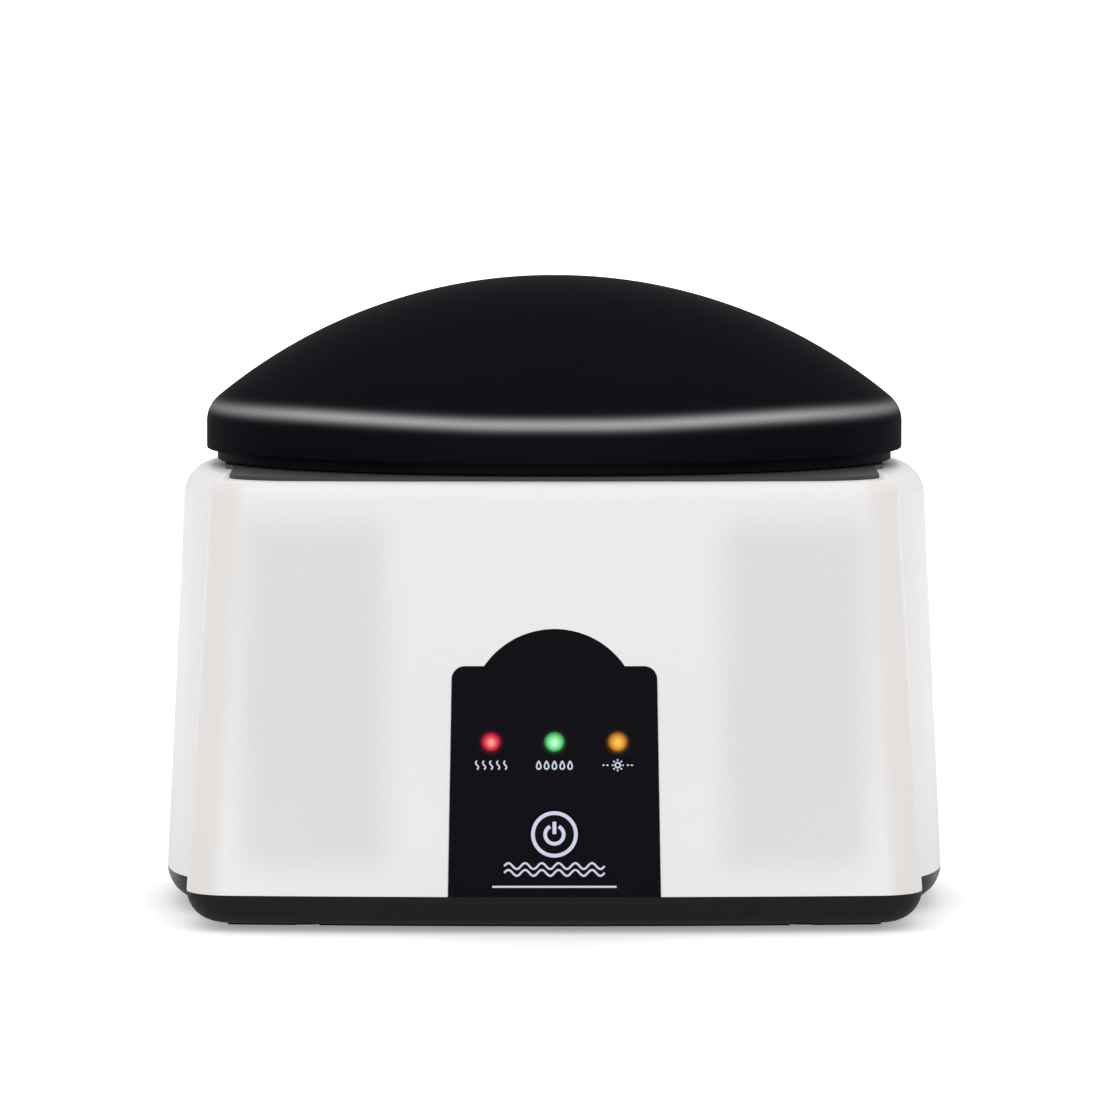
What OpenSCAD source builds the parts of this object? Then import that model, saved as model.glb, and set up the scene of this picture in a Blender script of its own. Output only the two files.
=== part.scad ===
// Gel polish remover machine: a finger bath that warms a little remover in a dish under a hinged lid.
// Millimetres. +X is the object's left-to-right width seen from the front, -Y is the front, +Z is up.
// The origin is on the resting plane, at the centre of the footprint.

/* [Housing] */
// Width of the wide housing at its base line
body_w = 200; // [192:1:212]
// Depth of the wide housing at its base line
body_d = 140; // [134:1:150]
// Distance from the origin back to the middle of the wide housing
body_back = 2; // [1:0.5:4]
// Squareness of the wide housing's plan, 2 is an ellipse
body_squareness = 2.7; // [2.5:0.1:3.2]
// Wall of the wide housing
body_wall = 2.6; // [2:0.1:3.2]
// Height of the deck that carries the lid
deck_z = 113; // [108:1:122]
// Thickness of the deck
deck_wall = 2.6; // [2:0.1:3.4]
// Draft of the wide housing's wall, in degrees
body_draft = 2.7; // [1.5:0.1:3.2]
// Rounding of the wide housing's top edge
body_rounding = 7.5; // [5:0.5:9]

/* [Front panel] */
// How far the front panel's side stands in from the wide housing's side
front_step = 7.6; // [5:0.2:11]
// Distance from the origin to the middle of the front face
front_reach = 74.2; // [73:0.2:78]
// How far the middle of the front face stands ahead of its ends
front_bulge = 3.6; // [2:0.2:5]
// Corner radius of the front panel, seen from above
front_corner = 12; // [12:1:20]
// Draft of the front panel's sides, in degrees
front_draft = 3.6; // [2:0.1:4]
// Rounding of the front panel's top edge
front_rounding = 4.5; // [3:0.5:6]
// Wall of the front panel
panel_wall = 3; // [2.4:0.1:4]
// Depth of the front panel, from its face to the seam with the housing
seam_depth = 17.2; // [14:0.2:18]
// Height of the two tongues that hold the panel's top edge
tongue_t = 1.6; // [1.2:0.2:2.4]
// Width of each tongue
tongue_w = 20; // [12:1:30]
// Distance of each tongue from the middle
tongue_x = 52; // [40:1:60]

/* [Base] */
// Height of the line where base and housing meet
base_line_z = 9.5; // [8:0.5:12]
// How far the base draws in below that line
base_undercut = 9; // [6:0.5:11]
// Height of the base's rounded edge above the resting plane
base_lift = 1.5; // [1.2:0.1:2.5]
// How far the flat sole stands below the rounded edge
sole_t = 0.7; // [0.3:0.1:0.8]
// Thickness of the base's floor
base_floor = 2.5; // [2:0.1:3.5]
// Thickness of the base's rim wall
base_wall = 2.4; // [2:0.1:3]
// Height of the lip that locates the housing
lip_h = 3; // [2:0.5:4]
// Thickness of that lip
lip_t = 1.6; // [1.2:0.1:2]
// Diameter of a rubber foot
foot_d = 12; // [9:0.5:14]
// Depth of the pocket that holds a foot
foot_pocket = 1.2; // [0.8:0.1:1.6]
// Width of a vent slot in the floor
vent_w = 2.4; // [1.5:0.1:3.5]
// Length of a vent slot
vent_l = 26; // [16:1:34]
// Radius of a screw post
base_post_r = 4.2; // [3.6:0.1:5]
// Height where the base's posts meet the housing's
base_post_z = 20; // [18:0.5:24]
// Length of a housing post above that height
base_post_l = 26; // [20:1:32]

/* [Control plate] */
// Width of the plate at its foot
plate_foot_w = 52.9; // [50:0.1:56]
// Width of the plate at its shoulders
plate_top_w = 50.9; // [48:0.1:52]
// Height of the shoulders
plate_shoulder_z = 67.2; // [64:0.2:74]
// Height of the arch's crown
plate_crown_z = 76.5; // [74:0.1:82]
// Radius of the arch
plate_arch_r = 21; // [18:0.5:23]
// Corner radius of the shoulders
plate_corner = 3.2; // [2:0.1:5]
// Thickness of the plate
plate_t = 2; // [1.6:0.1:2.2]
// Diameter of an indicator lamp
lamp_d = 5; // [4:0.1:6]
// Distance from lamp to lamp
lamp_pitch = 15.75; // [13:0.25:18]
// Height of the lamps
lamp_z = 48.3; // [44:0.1:54]
// How far a lamp's dome stands out of the plate
lamp_proud = 0.8; // [0.4:0.1:1.4]
// Diameter of the power button
button_d = 11.8; // [10:0.1:13]
// Height of the power button
button_z = 25.3; // [24:0.1:28]
// How far the button stands out of the plate
button_proud = 0.4; // [0.2:0.1:0.8]
// Travel of the button
button_travel = 0.7; // [0.4:0.1:0.9]

/* [Electronics] */
// Width of the control board
board_w = 52; // [48:1:56]
// Height of the control board's lower edge
board_low_z = 14; // [13:0.5:16]
// Height of the control board's upper edge
board_high_z = 70; // [66:1:76]
// Thickness of the control board
board_t = 1.6; // [1:0.1:2]
// Room between the front panel and the board
board_gap = 7.2; // [6.8:0.1:8.5]
// Side of the push switch under the button
switch_w = 6; // [5:0.5:8]
// Height of the push switch
switch_h = 3.2; // [2.8:0.1:3.8]
// Height of the power inlet
inlet_z = 23; // [22:0.5:30]
// Bore of the power inlet
inlet_bore = 5.6; // [5.5:0.1:6.4]
// Centre pin of the power inlet
inlet_pin = 2.1; // [1.9:0.1:2.5]
// Diameter of the inlet's threaded barrel
barrel_d = 11; // [10:0.5:12]
// How far the inlet stands out of the housing's rear
inlet_proud = 3; // [2:0.5:5]
// Length of the barrel behind its nut
inlet_tail = 4.5; // [3.5:0.5:8]
// Depth of the inlet's bore
inlet_depth = 10; // [9:0.5:11]
// Diameter of an insulated wire
wire_d = 1.8; // [1.4:0.1:2.2]
// Width of a wire connector
connector_w = 8; // [6:0.5:10]
// Height of a wire connector
connector_h = 6; // [5:0.5:8]
// Depth of a wire connector
connector_d = 7; // [5:0.5:8]
// Distance from connector to connector
connector_pitch = 15; // [13:0.5:17]
// Diameter of the smoothing capacitor
capacitor_d = 8; // [6:0.5:10]
// Length of the smoothing capacitor
capacitor_l = 10; // [8:0.5:12]
// Height of the capacitor's axis
capacitor_z = 38; // [34:1:42]

/* [Steam tub] */
// How far the tub's mouth stands in from the housing's side
tub_margin = 28; // [25:0.5:32]
// How far the mouth stands in from the front face
tub_front_margin = 27.2; // [26:0.2:31]
// Distance from the origin to the back of the mouth
tub_rear = 45; // [42:1:46]
// Squareness of the mouth, 2 is an ellipse
tub_squareness = 2.5; // [2.3:0.1:2.8]
// Wall of the tub
tub_wall = 2; // [1.6:0.1:2.6]
// Thickness of the tub's flange
flange_t = 1; // [0.8:0.1:1.6]
// How far the flange stands out past the mouth at each side
flange_side = 12; // [8:0.5:14]
// How far it stands out past the mouth at the front
flange_ahead = 22; // [18:0.5:23]
// How far it stands out past the mouth at the rear
flange_behind = 12; // [9:0.5:13]
// Height of the ledge that carries the finger tray
ledge_z = 74; // [68:1:80]
// Width of that ledge
ledge_w = 4; // [3:0.5:6]
// Height of the tub's floor
tub_floor_z = 52; // [50:1:58]
// How far the tub's wall draws in from mouth to ledge, and from ledge to floor
tub_taper = 2.5; // [1.5:0.5:4]
// Thickness of the finger tray
tray_t = 2; // [1.6:0.1:3]
// Width of a slot in the finger tray
slot_w = 4; // [3:0.1:4.4]
// Distance from slot to slot
slot_pitch = 9; // [8:0.5:12]
// Height of the tray's lifting tabs
tab_h = 10; // [8:1:12]
// Width of the lifting tabs
tab_w = 20; // [14:1:26]

/* [Heater] */
// Gap between the dish's flange and the tub's wall
dish_margin = 0.8; // [0.5:0.1:4]
// Depth of the remover dish
dish_depth = 13; // [11:0.5:16]
// Wall of the dish
dish_wall = 1.2; // [0.8:0.1:1.6]
// Width of the dish's flange
dish_flange = 4; // [3:0.5:5]
// Thickness of the seal under that flange
seal_t = 1; // [0.8:0.1:1.5]
// How far the heater disc stands in from the dish's wall
heater_margin = 6; // [4:0.5:10]
// Thickness of the heater disc
heater_t = 2.8; // [2:0.1:3.6]
// Thickness of the mica sheet under it
mica_t = 0.8; // [0.5:0.1:1.2]
// Thickness of the steel clamp
clamp_t = 1.2; // [1:0.1:2]
// Distance of the clamp screws from the dish's wall
clamp_screw_margin = 6.5; // [6:0.5:8]

/* [Lid] */
// How far the lid stands out past the tub's mouth at each side
lid_side = 17.6; // [16.5:0.1:20]
// How far it stands out past the mouth at the front
lid_ahead = 21; // [19:0.5:23]
// How far it stands out past the mouth at the rear
lid_behind = 17; // [16.5:0.5:18]
// Squareness of the lid's front half, 2 is an ellipse
lid_front_squareness = 2.1; // [2:0.05:2.4]
// Squareness of the lid's rear half
lid_rear_squareness = 2.4; // [2.2:0.1:2.8]
// Gap between the deck and the lid's overhanging rim
rim_gap = 4; // [3.5:0.5:6]
// Height of the rim's upright wall
rim_h = 7; // [5:0.5:10]
// Height of the dome above the rim's wall
dome_rise = 37.3; // [32:0.1:44]
// Rounding between dome and rim
dome_rounding = 8; // [6:0.5:10]
// Wall of the dome
lid_wall = 2.4; // [1.8:0.1:2.8]
// Wall of the liner inside the lid
liner_wall = 2; // [1.6:0.1:2.6]
// Height of the liner's plate above the liner's foot
liner_recess = 2.2; // [1.8:0.1:3]
// Width of the lid's gasket
gasket_w = 4; // [3:0.5:5]
// Distance of each hinge from the middle
hinge_x = 34; // [26:1:42]
// Diameter of the hinge pin
hinge_pin_d = 3; // [2.5:0.1:3.4]
// Radius of the hinge knuckles
knuckle_r = 4; // [3.6:0.1:4.2]
// Width of the lid's knuckle
knuckle_w = 11; // [8:0.5:14]
// Width of each ear on the housing
ear_w = 4; // [3:0.5:5]
// How far each ear runs down the housing's wall
ear_foot = 12; // [8:1:20]

/* [Screws and fits] */
// Diameter of the base screws
base_screw_d = 2.9; // [2.5:0.1:3.5]
// Diameter of the small screws
small_screw_d = 2.2; // [2:0.1:2.6]
// Height of a small screw's head
small_head_h = 1.3; // [1:0.1:1.6]
// Length of the screws that hold the tub
tub_screw_l = 6; // [5:0.5:7]
// Length of the screws that hold the heater's clamp
clamp_screw_l = 7; // [6:0.5:8]
// Length of the screws that hold the lid's liner
lid_screw_l = 9; // [7:0.5:10]
// Gap between parts that are pushed together
fit_gap = 0.3; // [0.2:0.05:0.4]
// Gap around a turning pin or a screw's thread
running_gap = 0.05; // [0.03:0.01:0.08]

/* [Hidden] */
$fn = 48;

sliver = 0.01;
plan_steps = 72;
rounding_steps = 5;
base_steps = 9;
corner_steps = 6;
front_steps = 10;
reach = 400;

white = [0.92, 0.92, 0.92];
black = [0.07, 0.07, 0.09];
charcoal = [0.14, 0.14, 0.14];
dark_grey = [0.27, 0.27, 0.28];
steel = [0.72, 0.73, 0.75];

body_half_w = body_w / 2;
body_half_d = body_d / 2;
body_rear_y = body_back + body_half_d;
front_half_w = body_half_w - front_step;
front_y = -front_reach;
seam_y = front_y + seam_depth;
front_back_y = -20;
panel_inner_y = front_y + panel_wall;
sole_z = base_lift - sole_t;
base_floor_z = base_lift + base_floor;
inner_radius = body_rounding - body_wall;
lip_top_z = base_line_z + lip_h;

tub_half_w = body_half_w - tub_margin;
tub_front = front_reach - tub_front_margin;
flange_top_z = deck_z + flange_t;
lid_half_w = tub_half_w + lid_side;
lid_front = tub_front + lid_ahead;
lid_rear = tub_rear + lid_behind;
rim_z = deck_z + rim_gap;
rim_top_z = rim_z + rim_h;
crown_z = rim_top_z + dome_rise;
liner_foot_z = flange_top_z + fit_gap;
liner_plate_z = liner_foot_z + liner_recess;
liner_inset = lid_wall + fit_gap;
liner_top_z = rim_z + 3.5;
gasket_inset = liner_inset + liner_wall + 0.2;
hinge_y = lid_rear + knuckle_r + 1.5;
hinge_z = rim_z + 1.5;

plate_front_y = front_y;
lamp_y = plate_front_y - lamp_proud + lamp_d / 2;
lamp_flange_y = panel_inner_y + 4.2;
board_front_y = panel_inner_y + board_gap;
board_back_y = board_front_y + board_t;
button_flange_d = button_d + 2.6;
button_flange_t = 1;
switch_face_y = board_front_y - switch_h;
plunger_d = 3.5;
plunger_out = 1;
board_post_x = board_w / 2 - 3.5;
board_post_low_z = board_low_z + 3.5;
board_post_high_z = board_high_z - 3.5;
connector_z = board_low_z + connector_d;
connector_back_y = board_back_y + connector_d;

inlet_flange_t = 1.5;
inlet_outer_y = body_rear_y + inlet_proud;
inlet_boss_y = inlet_outer_y - inlet_flange_t;
inlet_boss_r = barrel_d / 2 + 4;
inlet_inner_y = body_rear_y - body_wall - 2.4;
inlet_nut_t = 2.5;
inlet_back_y = inlet_inner_y - inlet_nut_t - inlet_tail;

tub_ledge_inset = tub_taper;
tub_low_inset = tub_taper + ledge_w;
tub_floor_inset = tub_low_inset + tub_taper;
dish_flange_r = min(tub_front, tub_rear) - tub_floor_inset - dish_margin;
dish_r = dish_flange_r - dish_wall - dish_flange;
heater_r = dish_r - heater_margin;
clamp_screw_r = dish_r + clamp_screw_margin;
dish_flange_z = tub_floor_z + seal_t;
dish_bottom_z = dish_flange_z + dish_wall - dish_depth - dish_wall;
heater_bottom_z = dish_bottom_z - heater_t;
mica_bottom_z = heater_bottom_z - mica_t;
clamp_bottom_z = mica_bottom_z - clamp_t;
clamp_post_angles = [90, 210, 330];
tab_t = 2;
tab_corner = 3;
fuse_r = 2;
fuse_l = 11;
fuse_at = [0, 8, clamp_bottom_z - fuse_r - 0.2];
sensor_at = [12, -8, clamp_bottom_z];
sensor_r = 2.2;
sensor_h = 6;

base_post_top_z = base_post_z + base_post_l;
panel_post_l = base_post_l - 4;
base_screw_bite = 10;
base_screw_places = [
  for (side = [-1, 1]) [side * (body_half_w - 26), -30],
  for (side = [-1, 1]) [side * (body_half_w - 28), 34]
];
panel_screw_places = [for (side = [-1, 1]) [side * (front_half_w - 30.4), front_y + 12.2]];
base_screw_head_d = base_screw_d * 1.9;
base_screw_head_h = 2;
base_screw_seat_z = base_floor_z + 3;
base_screw_l = base_post_z + base_screw_bite - base_screw_seat_z;
foot_places = [
  for (side = [-1, 1]) [side * (body_half_w - 34), front_y + 24.2],
  for (side = [-1, 1]) [side * (body_half_w - 42), body_rear_y - 28]
];
tub_screw_places = [
  for (side = [-1, 1]) [side * (tub_half_w + 4.8), -8],
  for (side = [-1, 1]) [side * 16, tub_rear + 5],
  for (side = [-1, 1]) [side * 16, -tub_front - 6]
];
lid_screw_places = [
  for (side = [-1, 1]) [side * (lid_half_w - 30.1), -22],
  for (side = [-1, 1]) [side * (lid_half_w - 30.1), 20]
];
small_head_d = small_screw_d * 1.9;
lid_post_r = 3.5;

// One closed plan: two half superellipses that meet at their widest, front half first.
function plan(half_w, front, rear, front_n, rear_n) = [
  for (i = [0 : plan_steps - 1])
    let (
      angle = 360 * i / plan_steps,
      n = sin(angle) < 0 ? front_n : rear_n,
      depth = sin(angle) < 0 ? front : rear
    )
    [
      half_w * sign(cos(angle)) * pow(abs(cos(angle)), 2 / n),
      depth * sign(sin(angle)) * pow(abs(sin(angle)), 2 / n)
    ]
];

function moved_back(points, distance) = [for (p = points) [p[0], p[1] + distance]];

function body_plan(inset) = moved_back(
  plan(body_half_w - inset, body_half_d - inset, body_half_d - inset, body_squareness, body_squareness),
  body_back
);

// Where the rear of the housing's wall is, at a distance from the middle.
function body_rear(x, inset) = body_back + (body_half_d - inset)
  * pow(1 - pow(abs(x) / (body_half_w - inset), body_squareness), 1 / body_squareness);

function tub_plan(inset) =
  plan(tub_half_w - inset, tub_front - inset, tub_rear - inset, tub_squareness, tub_squareness);

function lid_plan(inset) =
  plan(lid_half_w - inset, lid_front - inset, lid_rear - inset, lid_front_squareness, lid_rear_squareness);

// Plan of the front panel: a shallow curve ahead, two round corners, straight sides that run back.
function front_plan(drawn_in, inset) =
  let (
    half_w = front_half_w - drawn_in - inset,
    r = front_corner - inset,
    lean = atan(2 * front_bulge / half_w),
    end_x = half_w - r + r * sin(lean),
    end_y = front_y + inset + front_bulge * pow(end_x / half_w, 2),
    centre = [end_x - r * sin(lean), end_y + r * cos(lean)]
  )
  concat(
    [for (i = [-front_steps : front_steps])
      let (x = end_x * i / front_steps)
      [x, front_y + inset + front_bulge * pow(x / half_w, 2)]],
    [for (i = [1 : corner_steps])
      let (angle = -90 + lean + (90 - lean) * i / corner_steps)
      centre + r * [cos(angle), sin(angle)]],
    [[half_w, front_back_y], [-half_w, front_back_y]],
    [for (i = [corner_steps : -1 : 1])
      let (angle = -90 + lean + (90 - lean) * i / corner_steps)
      [-centre[0] - r * cos(angle), centre[1] + r * sin(angle)]]
  );

function drawn(z, draft) = (z - base_line_z) * tan(draft);

function undercut(z) =
  let (share = (base_line_z - z) / (base_line_z - base_lift))
  base_undercut * (1 - sqrt(1 - min(1, share * share)));

module slab(points, z) {
  translate([0, 0, z]) linear_extrude(sliver) polygon(points);
}

// The wide housing as a solid: drafted wall, rounded top edge.
module body_solid(inset, low, high, radius) {
  hull() {
    slab(body_plan(inset + drawn(low, body_draft)), low);
    for (i = [0 : rounding_steps]) {
      angle = 90 * i / rounding_steps;
      z = high - radius + radius * sin(angle) - sliver;
      slab(body_plan(inset + drawn(high - radius, body_draft) + radius * (1 - cos(angle))), z);
    }
  }
}

// The part ahead of it that carries the front face.
module front_solid(inset, low, high, radius) {
  hull() {
    slab(front_plan(drawn(low, front_draft), inset), low);
    for (i = [0 : rounding_steps]) {
      angle = 90 * i / rounding_steps;
      z = high - radius + radius * sin(angle) - sliver;
      slab(front_plan(drawn(high - radius, front_draft), inset + radius * (1 - cos(angle))), z);
    }
  }
}

module housing_outside() {
  body_solid(0, base_line_z, deck_z, body_rounding);
  front_solid(0, base_line_z, deck_z, front_rounding);
}

module housing_inside() {
  body_solid(body_wall, base_line_z - 1, deck_z - deck_wall, inner_radius);
  front_solid(panel_wall, base_line_z - 1, deck_z - deck_wall, front_rounding - 2);
}

module ahead_of(y) {
  translate([-reach / 2, y - reach, -1]) cube([reach, reach, reach]);
}

module behind(y) {
  translate([-reach / 2, y, -1]) cube([reach, reach, reach]);
}

// A cylinder that runs along +Y from a point.
module along_y(x, y, z, radius, length) {
  translate([x, y, z]) rotate([-90, 0, 0]) cylinder(r = radius, h = length);
}

// A pan-head screw: head at the bottom, thread upwards, with a cross cut in the head.
module screw(thread_d, head_d, head_h, length) {
  difference() {
    union() {
      cylinder(d = head_d, h = head_h);
      cylinder(d = thread_d, h = head_h + length);
    }
    for (turn = [0, 90]) {
      rotate([0, 0, turn]) translate([-head_d * 0.32, -head_d * 0.07, -1])
        cube([head_d * 0.64, head_d * 0.14, 1 + head_h * 0.55]);
    }
  }
}

// ---- Base ----

module base_outside() {
  hull() {
    for (i = [0 : base_steps]) {
      angle = 90 * i / base_steps;
      z = base_line_z - (base_line_z - base_lift) * sin(angle);
      slab(body_plan(base_undercut * (1 - cos(angle))), z - (i == 0 ? sliver : 0));
    }
  }
  hull() {
    for (i = [0 : base_steps]) {
      angle = 90 * i / base_steps;
      z = base_line_z - (base_line_z - base_lift) * sin(angle);
      slab(front_plan(0, base_undercut * (1 - cos(angle))), z - (i == 0 ? sliver : 0));
    }
  }
}

module base_plan(inset_body, inset_front) {
  polygon(body_plan(inset_body));
  polygon(front_plan(0, inset_front));
}

module base_vents() {
  for (row = [-18, 18], i = [-4 : 4]) {
    translate([i * vent_w * 2.6, row, 0])
      translate([-vent_w / 2, -vent_l / 2, 0]) cube([vent_w, vent_l, base_floor_z + 1]);
  }
}

module base_pan() {
  hollow = undercut(base_floor_z) + base_wall;
  lip_body = body_wall + fit_gap + 0.1;
  lip_front = panel_wall + fit_gap + 0.1;
  color(charcoal)
  difference() {
    union() {
      difference() {
        union() {
          base_outside();
          translate([0, 0, sole_z]) linear_extrude(sole_t + 0.2)
            base_plan(base_undercut + 1.2, base_undercut + 1.2);
        }
        translate([0, 0, base_floor_z]) linear_extrude(base_line_z)
          base_plan(hollow, hollow);
      }
      // The lip that the housing slips over, on a shelf inside the rim.
      translate([0, 0, base_floor_z - 0.2]) linear_extrude(lip_top_z - base_floor_z + 0.2)
        difference() {
          base_plan(lip_body, lip_front);
          base_plan(lip_body + lip_t, lip_front + lip_t);
        }
      for (p = concat(base_screw_places, panel_screw_places)) {
        translate([p[0], p[1], base_lift]) cylinder(r = base_post_r, h = base_post_z - base_lift);
      }
    }
    for (p = concat(base_screw_places, panel_screw_places)) {
      translate([p[0], p[1], 0]) {
        cylinder(d = base_screw_d + 0.4, h = base_post_z + 1);
        cylinder(d = base_screw_head_d + 0.6, h = base_screw_seat_z);
      }
    }
    for (p = foot_places) {
      translate([p[0], p[1], sole_z - 1]) cylinder(d = foot_d + 0.4, h = foot_pocket + 1);
    }
    base_vents();
  }
}

module rubber_feet() {
  color([0.05, 0.05, 0.05])
  for (p = foot_places) {
    translate([p[0], p[1], 0]) {
      rotate_extrude() polygon([
        [0, 0], [foot_d / 2 - 0.6, 0], [foot_d / 2, 0.6],
        [foot_d / 2, sole_z + foot_pocket], [0, sole_z + foot_pocket]
      ]);
    }
  }
}

module base_screws() {
  color(steel)
  for (p = concat(base_screw_places, panel_screw_places)) {
    translate([p[0], p[1], base_screw_seat_z - base_screw_head_h])
      screw(base_screw_d, base_screw_head_d, base_screw_head_h, base_screw_l);
  }
}

// Bore for the base screw at place p, from under the foot of its post.
module base_screw_bore(p) {
  translate([p[0], p[1], base_post_z - 1]) {
    cylinder(d = base_screw_d + 2 * running_gap, h = base_screw_bite + 6);
  }
}

// ---- Housing ----

// Outline of one hinge ear, drawn with the hinge axis at the origin: x is depth, y is height.
// It leans on the wall's rounding above and on the wall itself below.
module ear_outline() {
  outer_x = hinge_x + knuckle_w / 2 + fit_gap + ear_w;
  wall_y = body_rear(outer_x, drawn(deck_z - body_rounding, body_draft)) - hinge_y;
  shoulder_z = deck_z - body_rounding - hinge_z;
  union() {
    circle(r = knuckle_r);
    polygon([
      [-knuckle_r, 0], [knuckle_r, 0], [knuckle_r * 0.9, -4], [wall_y + 1, shoulder_z - ear_foot],
      [wall_y - 2, shoulder_z - ear_foot], [wall_y - body_rounding, shoulder_z],
      [wall_y - body_rounding * 0.6, deck_z - 1.2 - hinge_z], [-knuckle_r, -1]
    ]);
  }
}

module hinge_ears() {
  for (side = [-1, 1], end = [-1, 1]) {
    middle = side * hinge_x + end * (knuckle_w / 2 + fit_gap + ear_w / 2);
    translate([middle - ear_w / 2, hinge_y, hinge_z])
      rotate([90, 0, 90]) linear_extrude(ear_w) ear_outline();
  }
}

module hinge_bores() {
  for (side = [-1, 1]) {
    translate([side * hinge_x - knuckle_w, hinge_y, hinge_z])
      rotate([0, 90, 0]) cylinder(d = hinge_pin_d + 2 * running_gap, h = 2 * knuckle_w);
  }
}

module shell_posts() {
  for (p = base_screw_places) {
    translate([p[0], p[1], base_post_z]) cylinder(r = base_post_r, h = base_post_top_z - base_post_z);
    translate([p[0] < 0 ? p[0] - reach : p[0], p[1] - 1, base_post_z])
      cube([reach, 2, base_post_top_z - base_post_z]);
  }
  along_y(0, inlet_inner_y, inlet_z, inlet_boss_r, 10);
}

module main_shell() {
  color(white)
  difference() {
    union() {
      difference() {
        union() {
          housing_outside();
          hinge_ears();
        }
        housing_inside();
        ahead_of(seam_y + fit_gap);
      }
      intersection() {
        body_solid(0.4, base_line_z, deck_z, body_rounding);
        shell_posts();
      }
      along_y(0, inlet_inner_y, inlet_z, inlet_boss_r, inlet_boss_y - inlet_inner_y);
    }
    translate([0, 0, deck_z - 10]) linear_extrude(20) polygon(tub_plan(-tub_wall - fit_gap));
    for (p = base_screw_places) {
      base_screw_bore(p);
    }
    for (p = tub_screw_places) {
      translate([p[0], p[1], deck_z - 8]) cylinder(d = small_screw_d + 2 * running_gap, h = 20);
    }
    along_y(0, 0, inlet_z, barrel_d / 2 + running_gap, reach);
    hinge_bores();
  }
}

// ---- Front panel ----

// Face of the control plate, seen from the front: x is width, y is height.
module plate_outline(grow) {
  foot = plate_foot_w / 2 + grow;
  top = plate_top_w / 2 + grow;
  shoulder = plate_shoulder_z + grow;
  corner = plate_corner + grow;
  union() {
    polygon([
      [-foot, base_line_z], [foot, base_line_z], [top, shoulder - corner],
      [top - corner, shoulder], [corner - top, shoulder], [-top, shoulder - corner]
    ]);
    for (side = [-1, 1]) {
      translate([side * (top - corner), shoulder - corner]) circle(r = corner);
    }
    intersection() {
      translate([0, plate_crown_z - plate_arch_r]) circle(r = plate_arch_r + grow);
      translate([-top, plate_shoulder_z - 8]) square([2 * top, plate_arch_r]);
    }
  }
}

// Turns a drawing of the front into a solid that runs from y towards the back.
module from_front(y, depth) {
  translate([0, y + depth, 0]) rotate([90, 0, 0]) linear_extrude(depth) children();
}

function lamp_x(index) = (index - 1) * lamp_pitch;

module front_holes(lamp_gap, button_gap) {
  for (i = [0 : 2]) {
    along_y(lamp_x(i), front_y - 2, lamp_z, lamp_d / 2 + lamp_gap, 10);
  }
  along_y(0, front_y - 2, button_z, button_d / 2 + button_gap, 10);
}

module front_panel() {
  color(white)
  difference() {
    union() {
      difference() {
        front_solid(0, base_line_z, deck_z, front_rounding);
        front_solid(panel_wall, base_line_z - 1, deck_z - deck_wall, front_rounding - 2);
        behind(seam_y);
      }
      for (x = [-board_post_x, board_post_x], z = [board_post_low_z, board_post_high_z]) {
        along_y(x, panel_inner_y - 0.5, z, 2.7, board_front_y - panel_inner_y + 0.5);
      }
      for (p = panel_screw_places) {
        translate([p[0], p[1], base_post_z]) cylinder(r = base_post_r, h = panel_post_l);
        translate([p[0] - 1, panel_inner_y, base_post_z])
          cube([2, p[1] - panel_inner_y, panel_post_l]);
      }
      // Tongues that slip under the housing's deck.
      for (side = [-1, 1]) {
        translate([side * tongue_x - tongue_w / 2, seam_y - 4, deck_z - deck_wall - fit_gap - tongue_t])
          cube([tongue_w, 7, tongue_t]);
        translate([side * tongue_x - tongue_w / 2, seam_y - 4, deck_z - deck_wall - fit_gap - tongue_t])
          cube([tongue_w, 3.5, tongue_t + fit_gap + 0.5]);
      }
    }
    from_front(front_y - 2, plate_t + 2) plate_outline(0.15);
    front_holes(0.15, 0.35);
    for (x = [-board_post_x, board_post_x], z = [board_post_low_z, board_post_high_z]) {
      along_y(x, panel_inner_y + 0.6, z, small_screw_d / 2 + running_gap, board_gap);
    }
    for (p = panel_screw_places) {
      base_screw_bore(p);
    }
  }
}

module control_plate() {
  color(black)
  difference() {
    from_front(plate_front_y, plate_t) plate_outline(0);
    front_holes(0.1, 0.2);
  }
}

module lamp(index, shade) {
  color(shade)
  translate([lamp_x(index), 0, lamp_z]) {
    translate([0, lamp_y, 0]) rotate([90, 0, 0]) {
      intersection() {
        sphere(d = lamp_d);
        cylinder(d = lamp_d + 1, h = lamp_d);
      }
    }
    along_y(0, lamp_y, 0, lamp_d / 2, lamp_flange_y - lamp_y);
    along_y(0, lamp_flange_y, 0, lamp_d / 2 + 0.4, 1);
    for (leg = [-1.27, 1.27]) {
      along_y(leg, lamp_flange_y + 0.5, 0, 0.3, board_front_y - lamp_flange_y - 0.5);
    }
  }
}

module heat_lamp() {
  lamp(0, [0.9, 0.1, 0.2]);
}

module steam_lamp() {
  lamp(1, [0.15, 0.8, 0.35]);
}

module warm_lamp() {
  lamp(2, [0.95, 0.6, 0.1]);
}

module power_button() {
  flange_y = panel_inner_y + 0.2;
  cap_y = plate_front_y - button_proud;
  stem_end_y = switch_face_y - plunger_out;
  color(black) {
    along_y(0, cap_y, button_z, button_d / 2, flange_y - cap_y);
    along_y(0, flange_y, button_z, button_flange_d / 2, button_flange_t);
    along_y(0, flange_y, button_z, 2, stem_end_y - flange_y);
  }
}

module switch_plunger() {
  color([0.1, 0.1, 0.1])
    along_y(0, switch_face_y - plunger_out, button_z, plunger_d / 2, plunger_out + 0.8);
}

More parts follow.
